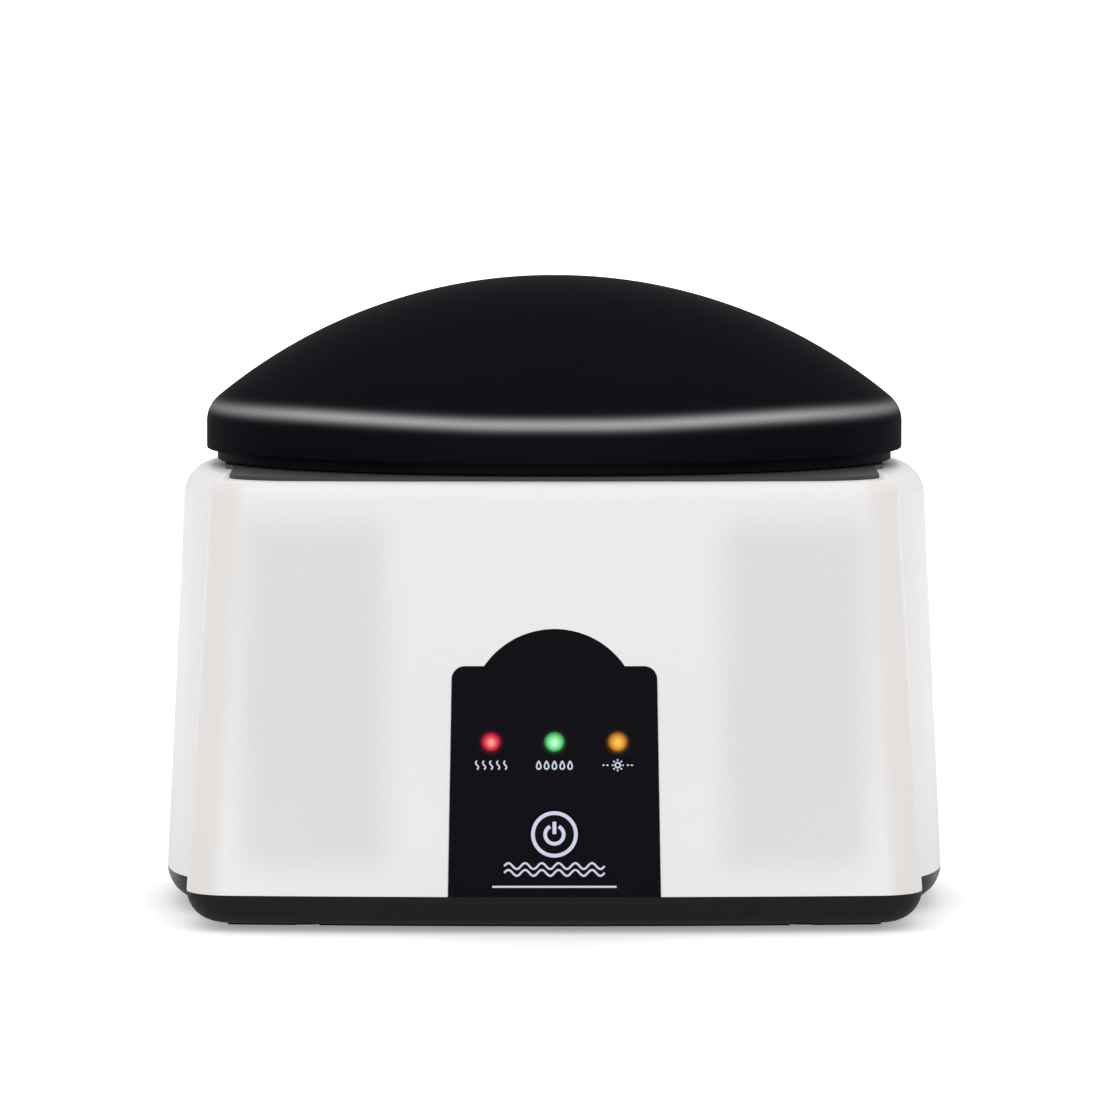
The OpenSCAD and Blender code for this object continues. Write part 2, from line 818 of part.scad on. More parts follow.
module push_switch() {
  color([0.2, 0.2, 0.22])
  difference() {
    translate([-switch_w / 2, switch_face_y, button_z - switch_w / 2])
      cube([switch_w, switch_h, switch_w]);
    along_y(0, switch_face_y - 1, button_z, plunger_d / 2 + 0.1, 1 + 0.8 + button_travel + 0.2);
  }
}

// ---- Electronics ----

module control_board() {
  color([0.05, 0.35, 0.18])
  difference() {
    translate([-board_w / 2, board_front_y, board_low_z])
      cube([board_w, board_t, board_high_z - board_low_z]);
    for (x = [-board_post_x, board_post_x], z = [board_post_low_z, board_post_high_z]) {
      along_y(x, board_front_y - 1, z, small_screw_d / 2 + 0.2, board_t + 2);
    }
  }
}

module board_screws() {
  color(steel)
  for (x = [-board_post_x, board_post_x], z = [board_post_low_z, board_post_high_z]) {
    translate([x, board_back_y + small_head_h, z]) rotate([90, 0, 0])
      screw(small_screw_d, small_head_d, small_head_h, board_t + 5);
  }
}

module controller_chip() {
  chip = [10, 1.8, 6];
  color([0.08, 0.08, 0.08])
    translate([-chip[0] / 2 + 4, board_back_y + 0.2, 50]) cube(chip);
  color(steel)
  for (i = [0 : 6], side = [-1, 1]) {
    translate([-chip[0] / 2 + 4.8 + i * 1.27, board_back_y, 53 + side * 3.6 - 0.6])
      cube([0.5, 0.7, 1.2]);
  }
}

module heater_transistor() {
  color([0.1, 0.1, 0.1])
    translate([-19, board_back_y + 1.3, 40]) cube([10, 3.2, 9]);
  color(steel) {
    translate([-19, board_back_y, 40]) cube([10, 1.3, 15.5]);
    for (i = [0 : 2]) {
      translate([-16.9 + i * 2.54, board_back_y, 35.5]) cube([0.8, 2, 4.5]);
    }
  }
}

module smoothing_capacitor() {
  color([0.1, 0.12, 0.3])
    along_y(connector_pitch, board_back_y, capacitor_z, capacitor_d / 2, capacitor_l);
}

module wire_connectors() {
  color([0.92, 0.9, 0.82])
  for (x = [-connector_pitch, 0, connector_pitch]) {
    translate([x - connector_w / 2, board_back_y, connector_z - connector_h / 2])
      cube([connector_w, connector_d, connector_h]);
  }
}

module power_inlet() {
  color([0.08, 0.08, 0.08])
  difference() {
    union() {
      along_y(0, inlet_boss_y, inlet_z, inlet_boss_r - 1.5, inlet_flange_t);
      along_y(0, inlet_back_y, inlet_z, barrel_d / 2, inlet_boss_y - inlet_back_y);
    }
    along_y(0, inlet_outer_y - inlet_depth, inlet_z, inlet_bore / 2, inlet_depth + 1);
  }
}

module inlet_nut() {
  color(steel)
  difference() {
    along_y_hex(inlet_inner_y - inlet_nut_t, inlet_boss_r - 1, inlet_nut_t);
    along_y(0, 0, inlet_z, barrel_d / 2 + running_gap, reach);
  }
}

module along_y_hex(y, radius, length) {
  translate([0, y, inlet_z]) rotate([-90, 0, 0]) cylinder(r = radius, h = length, $fn = 6);
}

module inlet_center_pin() {
  color(steel)
    along_y(0, inlet_outer_y - inlet_depth, inlet_z, inlet_pin / 2, inlet_depth - 0.8);
}

// ---- Wires ----

wire_r = wire_d / 2;
wire_sides = 8;
wire_steps = 4;
inlet_end = [0, inlet_back_y, inlet_z];
plug_y = connector_back_y;

// Routes, each from its first end to its last. The points between the ends are chosen by hand.
power_routes = [
  for (side = [-1, 1]) [
    inlet_end + [side * 2.2, 0, 0], inlet_end + [side * 2.2, -6, -1], [side * 2 - 5, 42, 11],
    [side * 2 - 11, 26, 7], [side * 2 - 15, 0, 6.5], [side * 2 - 15, -28, 7],
    [side * 2 - 15, -44, 13], [side * 2 - 15, plug_y + 6, connector_z - 1],
    [side * 2 - connector_pitch, plug_y, connector_z]
  ]
];
heater_route = [
  [-3, -heater_r, heater_bottom_z + heater_t / 2], [-3, -heater_r - 5, heater_bottom_z + 1],
  [-2.5, -38, 32], [-2, -45, 25], [-2, plug_y + 5, connector_z + 1], [-2, plug_y, connector_z]
];
fuse_route = [
  fuse_at - [fuse_l / 2 + 3, 0, 0], fuse_at - [fuse_l / 2 + 7, 1, 2],
  [-12, -12, 24], [-6, -30, 16], [0, -43, 16], [2, plug_y + 5, connector_z - 1],
  [2, plug_y, connector_z]
];
sensor_routes = [
  for (side = [-1, 1]) [
    sensor_at - [side * 1.1, 0, sensor_h], sensor_at + [2 - side * 1.4, -3, -sensor_h - 5],
    sensor_at + [4 - side * 1.4, -16, -18], [15 - side * 1.4, -40, 18],
    [15 - side * 1.4, plug_y + 6, connector_z - 1],
    [connector_pitch - side * 1.4, plug_y, connector_z]
  ]
];

function unit(v) = v / norm(v);

// A point on a smooth curve through four points, between the middle two.
function between(a, b, c, d, t) = 0.5 * (
  2 * b + (c - a) * t + (2 * a - 5 * b + 4 * c - d) * t * t + (3 * b - a - 3 * c + d) * t * t * t
);

function smooth(route) =
  let (last = len(route) - 1)
  concat(
    [for (i = [0 : last - 1], k = [0 : wire_steps - 1])
      between(route[max(0, i - 1)], route[i], route[i + 1], route[min(last, i + 2)], k / wire_steps)],
    [route[last]]
  );

// Rings across the line, flat at both ends in the directions given.
module tube(route, radius, first, last) {
  line = smooth(route);
  count = len(line);
  side = abs(first[0]) > 0.9 ? [0, 0, 1] : [1, 0, 0];
  heading = [for (i = [0 : count - 1])
    i == 0 ? first : i == count - 1 ? last : unit(line[i + 1] - line[i - 1])];
  points = [for (i = [0 : count - 1])
    let (up = unit(cross(heading[i], side)), out = unit(cross(up, heading[i])))
    for (k = [0 : wire_sides - 1])
      let (angle = 360 * k / wire_sides)
      line[i] + radius * (cos(angle) * out + sin(angle) * up)];
  polyhedron(points, strip_faces(count, wire_sides, true));
}

// Triangles over a stack of rings. With ends, the first and the last ring are closed by a flat cap.
function strip_faces(rings, sides, ends) = concat(
  [for (i = [0 : rings - 2], k = [0 : sides - 1])
    let (a = i * sides + k, b = i * sides + (k + 1) % sides)
    [a, a + sides, b]],
  [for (i = [0 : rings - 2], k = [0 : sides - 1])
    let (a = i * sides + k, b = i * sides + (k + 1) % sides)
    [b, a + sides, b + sides]],
  ends ? [[for (k = [0 : sides - 1]) k]] : [],
  ends ? [[for (k = [sides - 1 : -1 : 0]) (rings - 1) * sides + k]] : []
);

module power_leads() {
  color([0.75, 0.1, 0.1])
  for (route = power_routes) {
    tube(route, wire_r, [0, -1, 0], [0, -1, 0]);
  }
}

module heater_leads() {
  color([0.9, 0.9, 0.9]) {
    tube(heater_route, wire_r, [0, -1, 0], [0, -1, 0]);
    tube(fuse_route, wire_r, [-1, 0, 0], [0, -1, 0]);
  }
}

module sensor_leads() {
  color([0.1, 0.1, 0.1])
  for (route = sensor_routes) {
    tube(route, wire_r * 0.6, [0, 0, -1], [0, -1, 0]);
  }
}

// ---- Tub and heater ----

module tub_solid(inset, low, high) {
  hull() {
    slab(tub_plan(inset), high - sliver);
    slab(tub_plan(inset + tub_taper), low);
  }
}

function flange_plan() =
  plan(tub_half_w + flange_side, tub_front + flange_ahead, tub_rear + flange_behind, 8, 2.6);

// The flange lies on the flat of the deck and ends where the deck starts to round.
module tub_flange() {
  translate([0, 0, deck_z]) linear_extrude(flange_t)
    intersection() {
      polygon(flange_plan());
      union() {
        polygon(body_plan(drawn(deck_z, body_draft) + body_rounding));
        polygon(front_plan(drawn(deck_z, front_draft), front_rounding));
      }
    }
}

module steam_tub() {
  color(dark_grey)
  difference() {
    union() {
      tub_flange();
      tub_solid(-tub_wall, ledge_z - tub_wall, flange_top_z);
      tub_solid(tub_low_inset - tub_wall, tub_floor_z - tub_wall, ledge_z);
      for (angle = clamp_post_angles) {
        translate([clamp_screw_r * cos(angle), clamp_screw_r * sin(angle), mica_bottom_z])
          cylinder(r = 3.2, h = tub_floor_z - tub_wall - mica_bottom_z + 0.5);
      }
    }
    tub_solid(0, ledge_z, flange_top_z + 2 * sliver);
    tub_solid(tub_low_inset, tub_floor_z, ledge_z + 2 * sliver);
    translate([0, 0, tub_floor_z - 5]) cylinder(r = dish_r + dish_wall + fit_gap, h = 20);
    for (p = tub_screw_places) {
      translate([p[0], p[1], deck_z - 1]) cylinder(d = small_screw_d + 0.4, h = flange_t + 2);
    }
    for (angle = clamp_post_angles) {
      translate([clamp_screw_r * cos(angle), clamp_screw_r * sin(angle), mica_bottom_z - 1])
        cylinder(d = small_screw_d + 2 * running_gap, h = clamp_screw_l + 3);
    }
  }
}

module tub_screws() {
  color(steel)
  for (p = tub_screw_places) {
    translate([p[0], p[1], flange_top_z + small_head_h]) rotate([180, 0, 0])
      screw(small_screw_d, small_head_d, small_head_h, tub_screw_l);
  }
}

module dish_seal() {
  color([0.75, 0.2, 0.15])
  translate([0, 0, tub_floor_z]) difference() {
    cylinder(r = dish_flange_r, h = seal_t);
    translate([0, 0, -1]) cylinder(r = dish_r + dish_wall + fit_gap, h = seal_t + 2);
  }
}

module remover_dish() {
  outer = dish_r + dish_wall;
  corner = 4;
  color(steel)
  rotate_extrude() {
    difference() {
      union() {
        translate([0, dish_bottom_z]) square([outer - corner, dish_wall + corner]);
        translate([0, dish_bottom_z + corner]) square([outer, dish_depth - corner]);
        translate([outer - corner, dish_bottom_z + corner]) circle(r = corner);
        translate([0, dish_flange_z]) square([dish_flange_r, dish_wall]);
      }
      translate([-1, dish_bottom_z + dish_wall + corner - dish_wall])
        square([dish_r + 1, dish_depth + 2]);
      translate([-1, dish_bottom_z + dish_wall]) square([outer - corner + 1, dish_depth]);
      translate([outer - corner, dish_bottom_z + corner]) circle(r = corner - dish_wall);
      translate([-10, dish_bottom_z - 1]) square([10, dish_depth * 2]);
    }
  }
}

module heater_disc() {
  color([0.8, 0.8, 0.82])
    translate([0, 0, heater_bottom_z]) cylinder(r = heater_r, h = heater_t);
}

module mica_sheet() {
  color([0.8, 0.75, 0.6])
    translate([0, 0, mica_bottom_z]) cylinder(r = heater_r, h = mica_t);
}

module heater_clamp() {
  color(steel)
  difference() {
    translate([0, 0, clamp_bottom_z]) linear_extrude(clamp_t) {
      circle(r = heater_r - 5);
      for (angle = clamp_post_angles) {
        rotate([0, 0, angle]) translate([0, -4]) square([clamp_screw_r, 8]);
        rotate([0, 0, angle]) translate([clamp_screw_r, 0]) circle(r = 4);
      }
    }
    for (angle = clamp_post_angles) {
      translate([clamp_screw_r * cos(angle), clamp_screw_r * sin(angle), clamp_bottom_z - 1])
        cylinder(d = small_screw_d + 0.4, h = clamp_t + 2);
    }
  }
}

module clamp_screws() {
  color(steel)
  for (angle = clamp_post_angles) {
    translate([clamp_screw_r * cos(angle), clamp_screw_r * sin(angle), clamp_bottom_z - small_head_h])
      screw(small_screw_d, small_head_d, small_head_h, clamp_screw_l);
  }
}

module thermal_fuse() {
  color([0.85, 0.85, 0.85])
  translate(fuse_at) rotate([0, 90, 0]) {
    translate([0, 0, -fuse_l / 2]) cylinder(r = fuse_r, h = fuse_l);
    translate([0, 0, -fuse_l / 2 - 3]) cylinder(r = 0.5, h = fuse_l + 6);
  }
}

module temperature_sensor() {
  color([0.1, 0.1, 0.1])
    translate([sensor_at[0], sensor_at[1], sensor_at[2] - sensor_h]) cylinder(r = sensor_r, h = sensor_h);
}

// A lifting tab, seen from the side: x is depth, y is height. It has a slot for a fingertip.
module tab_outline() {
  difference() {
    union() {
      translate([-tab_w / 2, -0.2]) square([tab_w, tab_h - tab_corner + 0.2]);
      translate([tab_corner - tab_w / 2, 0]) square([tab_w - 2 * tab_corner, tab_h]);
      for (side = [-1, 1]) {
        translate([side * (tab_w / 2 - tab_corner), tab_h - tab_corner]) circle(r = tab_corner);
      }
    }
    translate([-tab_w / 4, tab_h * 0.35]) square([tab_w / 2, tab_h * 0.35]);
  }
}

module finger_tray() {
  edge = tub_ledge_inset + fit_gap + 0.1;
  tab_x = tub_half_w - edge - 7.5;
  slots = floor((tab_x - 8) / slot_pitch);
  color([0.85, 0.85, 0.86])
  union() {
    difference() {
      translate([0, 0, ledge_z]) linear_extrude(tray_t) polygon(tub_plan(edge));
      for (i = [-slots : slots]) {
        x = i * slot_pitch;
        share = sqrt(1 - pow(abs(x) / tub_half_w, 2));
        front = tub_front * share - tub_low_inset - 5;
        rear = tub_rear * share - tub_low_inset - 5;
        translate([x - slot_w / 2, -front, ledge_z - 1]) cube([slot_w, front - 3, tray_t + 2]);
        translate([x - slot_w / 2, 3, ledge_z - 1]) cube([slot_w, rear - 3, tray_t + 2]);
      }
    }
    for (side = [-1, 1]) {
      translate([side * tab_x - tab_t / 2, 0, ledge_z + tray_t])
        rotate([90, 0, 90]) linear_extrude(tab_t) tab_outline();
    }
  }
}

// ---- Lid ----

// Radius of the dome's arc, which meets the rounding above a rim wall that stands rise below the crown.
function dome_arc(half, rise, r) = (pow(half - r, 2) + rise * rise - r * r) / (2 * (rise - r));

// Profile of one dome surface from its rim wall to its crown: [share of the plan, height].
function dome_profile(half, low, top, rise, r, steps) =
  let (
    arc = dome_arc(half, rise, r),
    centre_z = top + rise - arc,
    turn = atan2(top - centre_z, half - r),
    edge = half - r + r * cos(turn),
    edge_angle = asin((edge) / arc)
  )
  concat(
    [[1, low]],
    [for (i = [0 : 5])
      let (angle = turn * i / 5)
      [(half - r + r * cos(angle)) / half, top + r * sin(angle)]],
    [for (i = [1 : steps])
      let (angle = edge_angle * (1 - i / (steps + 0.6)))
      [arc * sin(angle) / half, centre_z + arc * cos(angle)]]
  );

function ring(points, share, z) = [for (p = points) [p[0] * share, p[1] * share, z]];

// Height of the dome's inner surface above a point of the plan.
function dome_inner_z(x, y) =
  let (
    n = y < 0 ? lid_front_squareness : lid_rear_squareness,
    depth = y < 0 ? lid_front : lid_rear,
    share = pow(pow(abs(x) / lid_half_w, n) + pow(abs(y) / depth, n), 1 / n),
    arc = dome_arc(lid_half_w, dome_rise, dome_rounding)
  )
  crown_z - arc + sqrt(arc * arc - pow(share * lid_half_w, 2)) - lid_wall;

module dome_shell() {
  outer = dome_profile(lid_half_w, rim_z, rim_top_z, dome_rise, dome_rounding, 9);
  inner = dome_profile(
    lid_half_w - lid_wall, rim_z, rim_top_z, dome_rise - lid_wall, dome_rounding - lid_wall, 9
  );
  count = len(outer);
  rings = concat(
    [for (i = [count - 1 : -1 : 0]) ring(lid_plan(lid_wall), inner[i][0], inner[i][1])],
    [for (i = [0 : count - 1]) ring(lid_plan(0), outer[i][0], outer[i][1])]
  );
  polyhedron([for (r = rings) for (p = r) p], strip_faces(2 * count, plan_steps, true));
}

module hinge_arms() {
  reach_in = knuckle_r + 1.5 + lid_rear * (1 - pow(1 - pow(hinge_x / lid_half_w, 2), 0.5)) + 3;
  for (side = [-1, 1]) {
    translate([side * hinge_x - knuckle_w / 2, hinge_y, hinge_z])
      rotate([90, 0, 90]) linear_extrude(knuckle_w) {
        circle(r = knuckle_r);
        translate([-reach_in, rim_z - hinge_z]) square([reach_in, knuckle_r - rim_z + hinge_z]);
      }
  }
}

// Top of a screw post, just inside the dome at the post's far edge.
function lid_post_top(p) =
  let (far = p + unit(p) * lid_post_r)
  dome_inner_z(far[0], far[1]) + lid_wall / 2;

module lid_dome() {
  color(black)
  difference() {
    union() {
      dome_shell();
      difference() {
        hinge_arms();
        translate([0, 0, rim_z - 1]) linear_extrude(rim_h + 10) polygon(lid_plan(lid_wall - 0.5));
      }
      for (p = lid_screw_places) {
        translate([p[0], p[1], liner_plate_z + liner_wall])
          cylinder(r = lid_post_r, h = lid_post_top(p) - liner_plate_z - liner_wall);
      }
    }
    hinge_bores();
    for (p = lid_screw_places) {
      translate([p[0], p[1], liner_plate_z])
        cylinder(d = small_screw_d + 2 * running_gap, h = lid_screw_l + 3);
    }
  }
}

module lid_liner() {
  color(black)
  difference() {
    translate([0, 0, liner_foot_z]) linear_extrude(liner_top_z - liner_foot_z)
      polygon(lid_plan(liner_inset));
    translate([0, 0, liner_foot_z - 1]) linear_extrude(liner_recess + 1)
      polygon(lid_plan(liner_inset + liner_wall));
    translate([0, 0, liner_plate_z + liner_wall]) linear_extrude(liner_top_z - liner_plate_z)
      polygon(lid_plan(liner_inset + liner_wall));
    for (p = lid_screw_places) {
      translate([p[0], p[1], liner_foot_z])
        cylinder(d = small_screw_d + 0.4, h = liner_top_z - liner_foot_z + 1);
    }
  }
}

module lid_gasket() {
  color([0.2, 0.2, 0.21])
  translate([0, 0, flange_top_z]) linear_extrude(liner_plate_z - flange_top_z)
    difference() {
      polygon(lid_plan(gasket_inset));
      polygon(lid_plan(gasket_inset + gasket_w));
    }
}

module lid_screws() {
  color(steel)
  for (p = lid_screw_places) {
    translate([p[0], p[1], liner_plate_z - small_head_h])
      screw(small_screw_d, small_head_d, small_head_h, lid_screw_l);
  }
}

module hinge_pins() {
  length = knuckle_w + 2 * fit_gap + 2 * ear_w;
  color(steel)
  for (side = [-1, 1]) {
    translate([side * hinge_x - length / 2, hinge_y, hinge_z])
      rotate([0, 90, 0]) cylinder(d = hinge_pin_d, h = length);
  }
}

base_pan();
rubber_feet();
base_screws();
main_shell();
front_panel();
control_plate();
heat_lamp();
steam_lamp();
warm_lamp();
power_button();
switch_plunger();
push_switch();
control_board();
board_screws();
controller_chip();
heater_transistor();
smoothing_capacitor();
wire_connectors();
power_inlet();
inlet_nut();
inlet_center_pin();
power_leads();
heater_leads();
sensor_leads();
steam_tub();
tub_screws();
dish_seal();
remover_dish();
heater_disc();
mica_sheet();
heater_clamp();
clamp_screws();
thermal_fuse();
temperature_sensor();
finger_tray();
lid_dome();
lid_liner();
lid_gasket();
lid_screws();
hinge_pins();
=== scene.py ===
"""Gel polish remover machine, dressed and lit for its picture. Lengths in the notes are millimetres."""

import math

import bmesh
import bpy
from mathutils import Matrix, Vector


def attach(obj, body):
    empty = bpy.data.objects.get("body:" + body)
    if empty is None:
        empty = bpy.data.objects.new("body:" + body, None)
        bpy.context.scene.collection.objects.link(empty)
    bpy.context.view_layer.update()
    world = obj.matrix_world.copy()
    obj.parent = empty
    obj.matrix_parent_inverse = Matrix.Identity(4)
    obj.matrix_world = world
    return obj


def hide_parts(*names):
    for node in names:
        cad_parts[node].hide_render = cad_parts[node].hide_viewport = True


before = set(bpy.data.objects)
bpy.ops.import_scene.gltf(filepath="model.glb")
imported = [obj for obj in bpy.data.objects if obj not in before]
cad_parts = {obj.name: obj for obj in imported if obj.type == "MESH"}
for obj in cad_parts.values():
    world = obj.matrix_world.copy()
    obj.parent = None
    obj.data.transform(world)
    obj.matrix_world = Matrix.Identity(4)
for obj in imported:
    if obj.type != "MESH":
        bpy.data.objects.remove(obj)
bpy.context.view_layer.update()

scene = bpy.context.scene
MM = 0.001

# ---- Sizes of the machine, the same as in the model's source ----

FRONT_Y = -74.2
FLANGE_TOP_Z = 114.0
RIM_Z = 117.0
RIM_TOP_Z = 124.0
LID_HALF_W, LID_FRONT, LID_REAR = 89.6, 68.0, 62.0
LID_FRONT_SQUARENESS, LID_REAR_SQUARENESS = 2.1, 2.4
DOME_RISE, DOME_ROUNDING, LID_WALL = 37.3, 8.0, 2.4
LINER_PLATE_Z = 116.5
GASKET_INSET, GASKET_W = 4.9, 4.0
HINGE_X, HINGE_Y, HINGE_Z = 34.0, 67.5, 118.5
KNUCKLE_R, KNUCKLE_W, EAR_W = 4.0, 11.0, 4.0
HINGE_PIN_D = 3.0
LAMP_X = (-15.75, 0.0, 15.75)
LAMP_Z, LAMP_D, LAMP_PROUD = 48.3, 5.0, 0.8
LAMP_FLANGE_Y = -67.0
BOARD_FRONT_Y, BOARD_BACK_Y = -64.0, -62.4
BUTTON_Z, BUTTON_D, BUTTON_PROUD = 25.3, 11.8, 0.4
BUTTON_FLANGE_Y, STEM_END_Y, PLUNGER_END_Y = -71.0, -68.2, -66.4
SMALL_HEAD_H, SMALL_SCREW_D, RUNNING_GAP = 1.3, 2.2, 0.05
LID_SCREW_PLACES = [(x, y) for x in (-60, 60) for y in (-22, 20)]
DISH_R, DISH_WALL, DISH_FLANGE_R = 30.0, 1.2, 35.2
DISH_BOTTOM_Z, DISH_FLANGE_Z, TUB_FLOOR_Z = 40.0, 53.0, 52.0
CLAMP_SCREW_R = 36.5
HEATER_R, HEATER_Z, MICA_Z, CLAMP_Z, FUSE_Z = 24.0, 37.2, 36.4, 35.2, 33.0
INLET_Z, INLET_BACK_Y, INLET_PIN_TIP_Y, INLET_PIN_ROOT_Y = 23.0, 60.0, 74.2, 65.0
PLUG_Y, CONNECTOR_Z = -55.4, 21.0
CONNECTOR_PITCH = 15.0


def at(x, y, z):
    return Vector((x, y, z)) * MM


# ---- Camera, as the photograph was taken ----

CAMERA_AIM = at(-1.1, 0, 90.2)
CAMERA_DISTANCE = 1.892
CAMERA_ELEVATION = math.radians(4.73)
VIEW_WIDTH = 0.2843
SENSOR_WIDTH = 36


def place_camera():
    camera = bpy.data.objects.new("camera", bpy.data.cameras.new("camera"))
    scene.collection.objects.link(camera)
    back = Vector((0, -math.cos(CAMERA_ELEVATION), math.sin(CAMERA_ELEVATION)))
    camera.location = CAMERA_AIM + back * CAMERA_DISTANCE
    camera.rotation_euler = (-back).to_track_quat("-Z", "Y").to_euler()
    camera.data.sensor_width = SENSOR_WIDTH
    camera.data.lens = SENSOR_WIDTH * CAMERA_DISTANCE / VIEW_WIDTH
    camera.data.clip_start, camera.data.clip_end = 0.05, 60
    scene.camera = camera


place_camera()

# ---- Arithmetic inside node trees ----


def feed(tree, socket, value):
    if isinstance(value, Number):
        tree.links.new(value.socket, socket)
    elif isinstance(value, bpy.types.NodeSocket):
        tree.links.new(value, socket)
    else:
        socket.default_value = value


def rule(tree, operation, *values):
    step = tree.nodes.new("ShaderNodeMath")
    step.operation = operation
    for socket, value in zip(step.inputs, values):
        feed(tree, socket, value)
    return Number(tree, step.outputs[0])


class Number:
    """A number in a node tree that takes part in plain sums."""

    def __init__(self, tree, socket):
        self.tree, self.socket = tree, socket

    def __add__(self, other):
        return rule(self.tree, "ADD", self, other)

    __radd__ = __add__

    def __sub__(self, other):
        return rule(self.tree, "SUBTRACT", self, other)

    def __rsub__(self, other):
        return rule(self.tree, "SUBTRACT", other, self)

    def __mul__(self, other):
        return rule(self.tree, "MULTIPLY", self, other)

    __rmul__ = __mul__

    def __truediv__(self, other):
        return rule(self.tree, "DIVIDE", self, other)

    def __rtruediv__(self, other):
        return rule(self.tree, "DIVIDE", other, self)

    def __pow__(self, other):
        return rule(self.tree, "POWER", self, other)

    def __rpow__(self, other):
        return rule(self.tree, "POWER", other, self)

    def __abs__(self):
        return rule(self.tree, "ABSOLUTE", self)

    def over(self, other):
        return rule(self.tree, "GREATER_THAN", self, other)

    def of(self, operation, *others):
        return rule(self.tree, operation, self, *others)

    def rise(self, low, high):
        """0 below low, 1 above high, with a soft step between them."""
        step = self.tree.nodes.new("ShaderNodeMapRange")
        step.interpolation_type = "SMOOTHSTEP"
        for socket, value in zip(step.inputs, (self, low, high, 0.0, 1.0)):
            feed(self.tree, socket, value)
        return Number(self.tree, step.outputs[0])

    def band(self, low, high, edge):
        """1 between low and high, fading out over edge on both sides."""
        return self.rise(low - edge / 2, low + edge / 2) * (1 - self.rise(high - edge / 2, high + edge / 2))


def parts_of(tree, vector):
    step = tree.nodes.new("ShaderNodeSeparateXYZ")
    feed(tree, step.inputs[0], vector)
    return [Number(tree, step.outputs[i]) for i in range(3)]


def vector_of(tree, x, y, z):
    step = tree.nodes.new("ShaderNodeCombineXYZ")
    for socket, value in zip(step.inputs, (x, y, z)):
        feed(tree, socket, value)
    return step.outputs[0]


def reach(across, up):
    """Distance from an axis, out of the distances along two others."""
    return (across * across + up * up) ** 0.5


# ---- Geometry trees ----

WELD = 0.000002


class Rig:
    """A geometry tree with named sizes. It starts from the piece's own points and ends in one mesh."""

    SOCKETS = {int: "NodeSocketInt", float: "NodeSocketFloat", tuple: "NodeSocketVector"}

    def __init__(self, name, **sizes):
        self.tree = bpy.data.node_groups.new(name, "GeometryNodeTree")
        sockets = self.tree.interface
        sockets.new_socket("Points", in_out="INPUT", socket_type="NodeSocketGeometry")
        sockets.new_socket("Piece", in_out="OUTPUT", socket_type="NodeSocketGeometry")
        for size, value in sizes.items():
            socket = sockets.new_socket(size, in_out="INPUT", socket_type=self.SOCKETS[type(value)])
            socket.default_value = value
        sockets.new_socket("Finish", in_out="INPUT", socket_type="NodeSocketMaterial")
        self.start = self.tree.nodes.new("NodeGroupInput")
        self.end = self.tree.nodes.new("NodeGroupOutput")
        self.points = self.start.outputs["Points"]

    def size(self, name):
        return Number(self.tree, self.start.outputs[name])

    def step(self, kind, inputs=None, **settings):
        node = self.tree.nodes.new(kind)
        for key, value in settings.items():
            setattr(node, key, value)
        for key, value in (inputs or {}).items():
            feed(self.tree, node.inputs[key], value)
        return node

    def position(self):
        return parts_of(self.tree, self.made("GeometryNodeInputPosition"))

    def made(self, kind, inputs=None, **settings):
        """The first thing that a node gives out."""
        return self.step(kind, inputs, **settings).outputs[0]

    def moved(self, mesh, x, y, z):
        place = vector_of(self.tree, x, y, z)
        return self.made("GeometryNodeSetPosition", {"Geometry": mesh, "Position": place})

    def smooth(self, mesh):
        return self.made("GeometryNodeSetShadeSmooth", {"Geometry": mesh})

    def joined(self, *meshes):
        node = self.tree.nodes.new("GeometryNodeJoinGeometry")
        for mesh in reversed(meshes):
            self.tree.links.new(mesh, node.inputs[0])
        return node.outputs[0]

    def merged(self, mesh):
        return self.made("GeometryNodeMergeByDistance", {"Geometry": mesh, "Distance": WELD})

    def close(self, mesh):
        real = self.made("GeometryNodeRealizeInstances", {"Geometry": mesh})
        finish = self.start.outputs["Finish"]
        done = self.made("GeometryNodeSetMaterial", {"Geometry": real, "Material": finish})
        self.tree.links.new(done, self.end.inputs["Piece"])
        return self


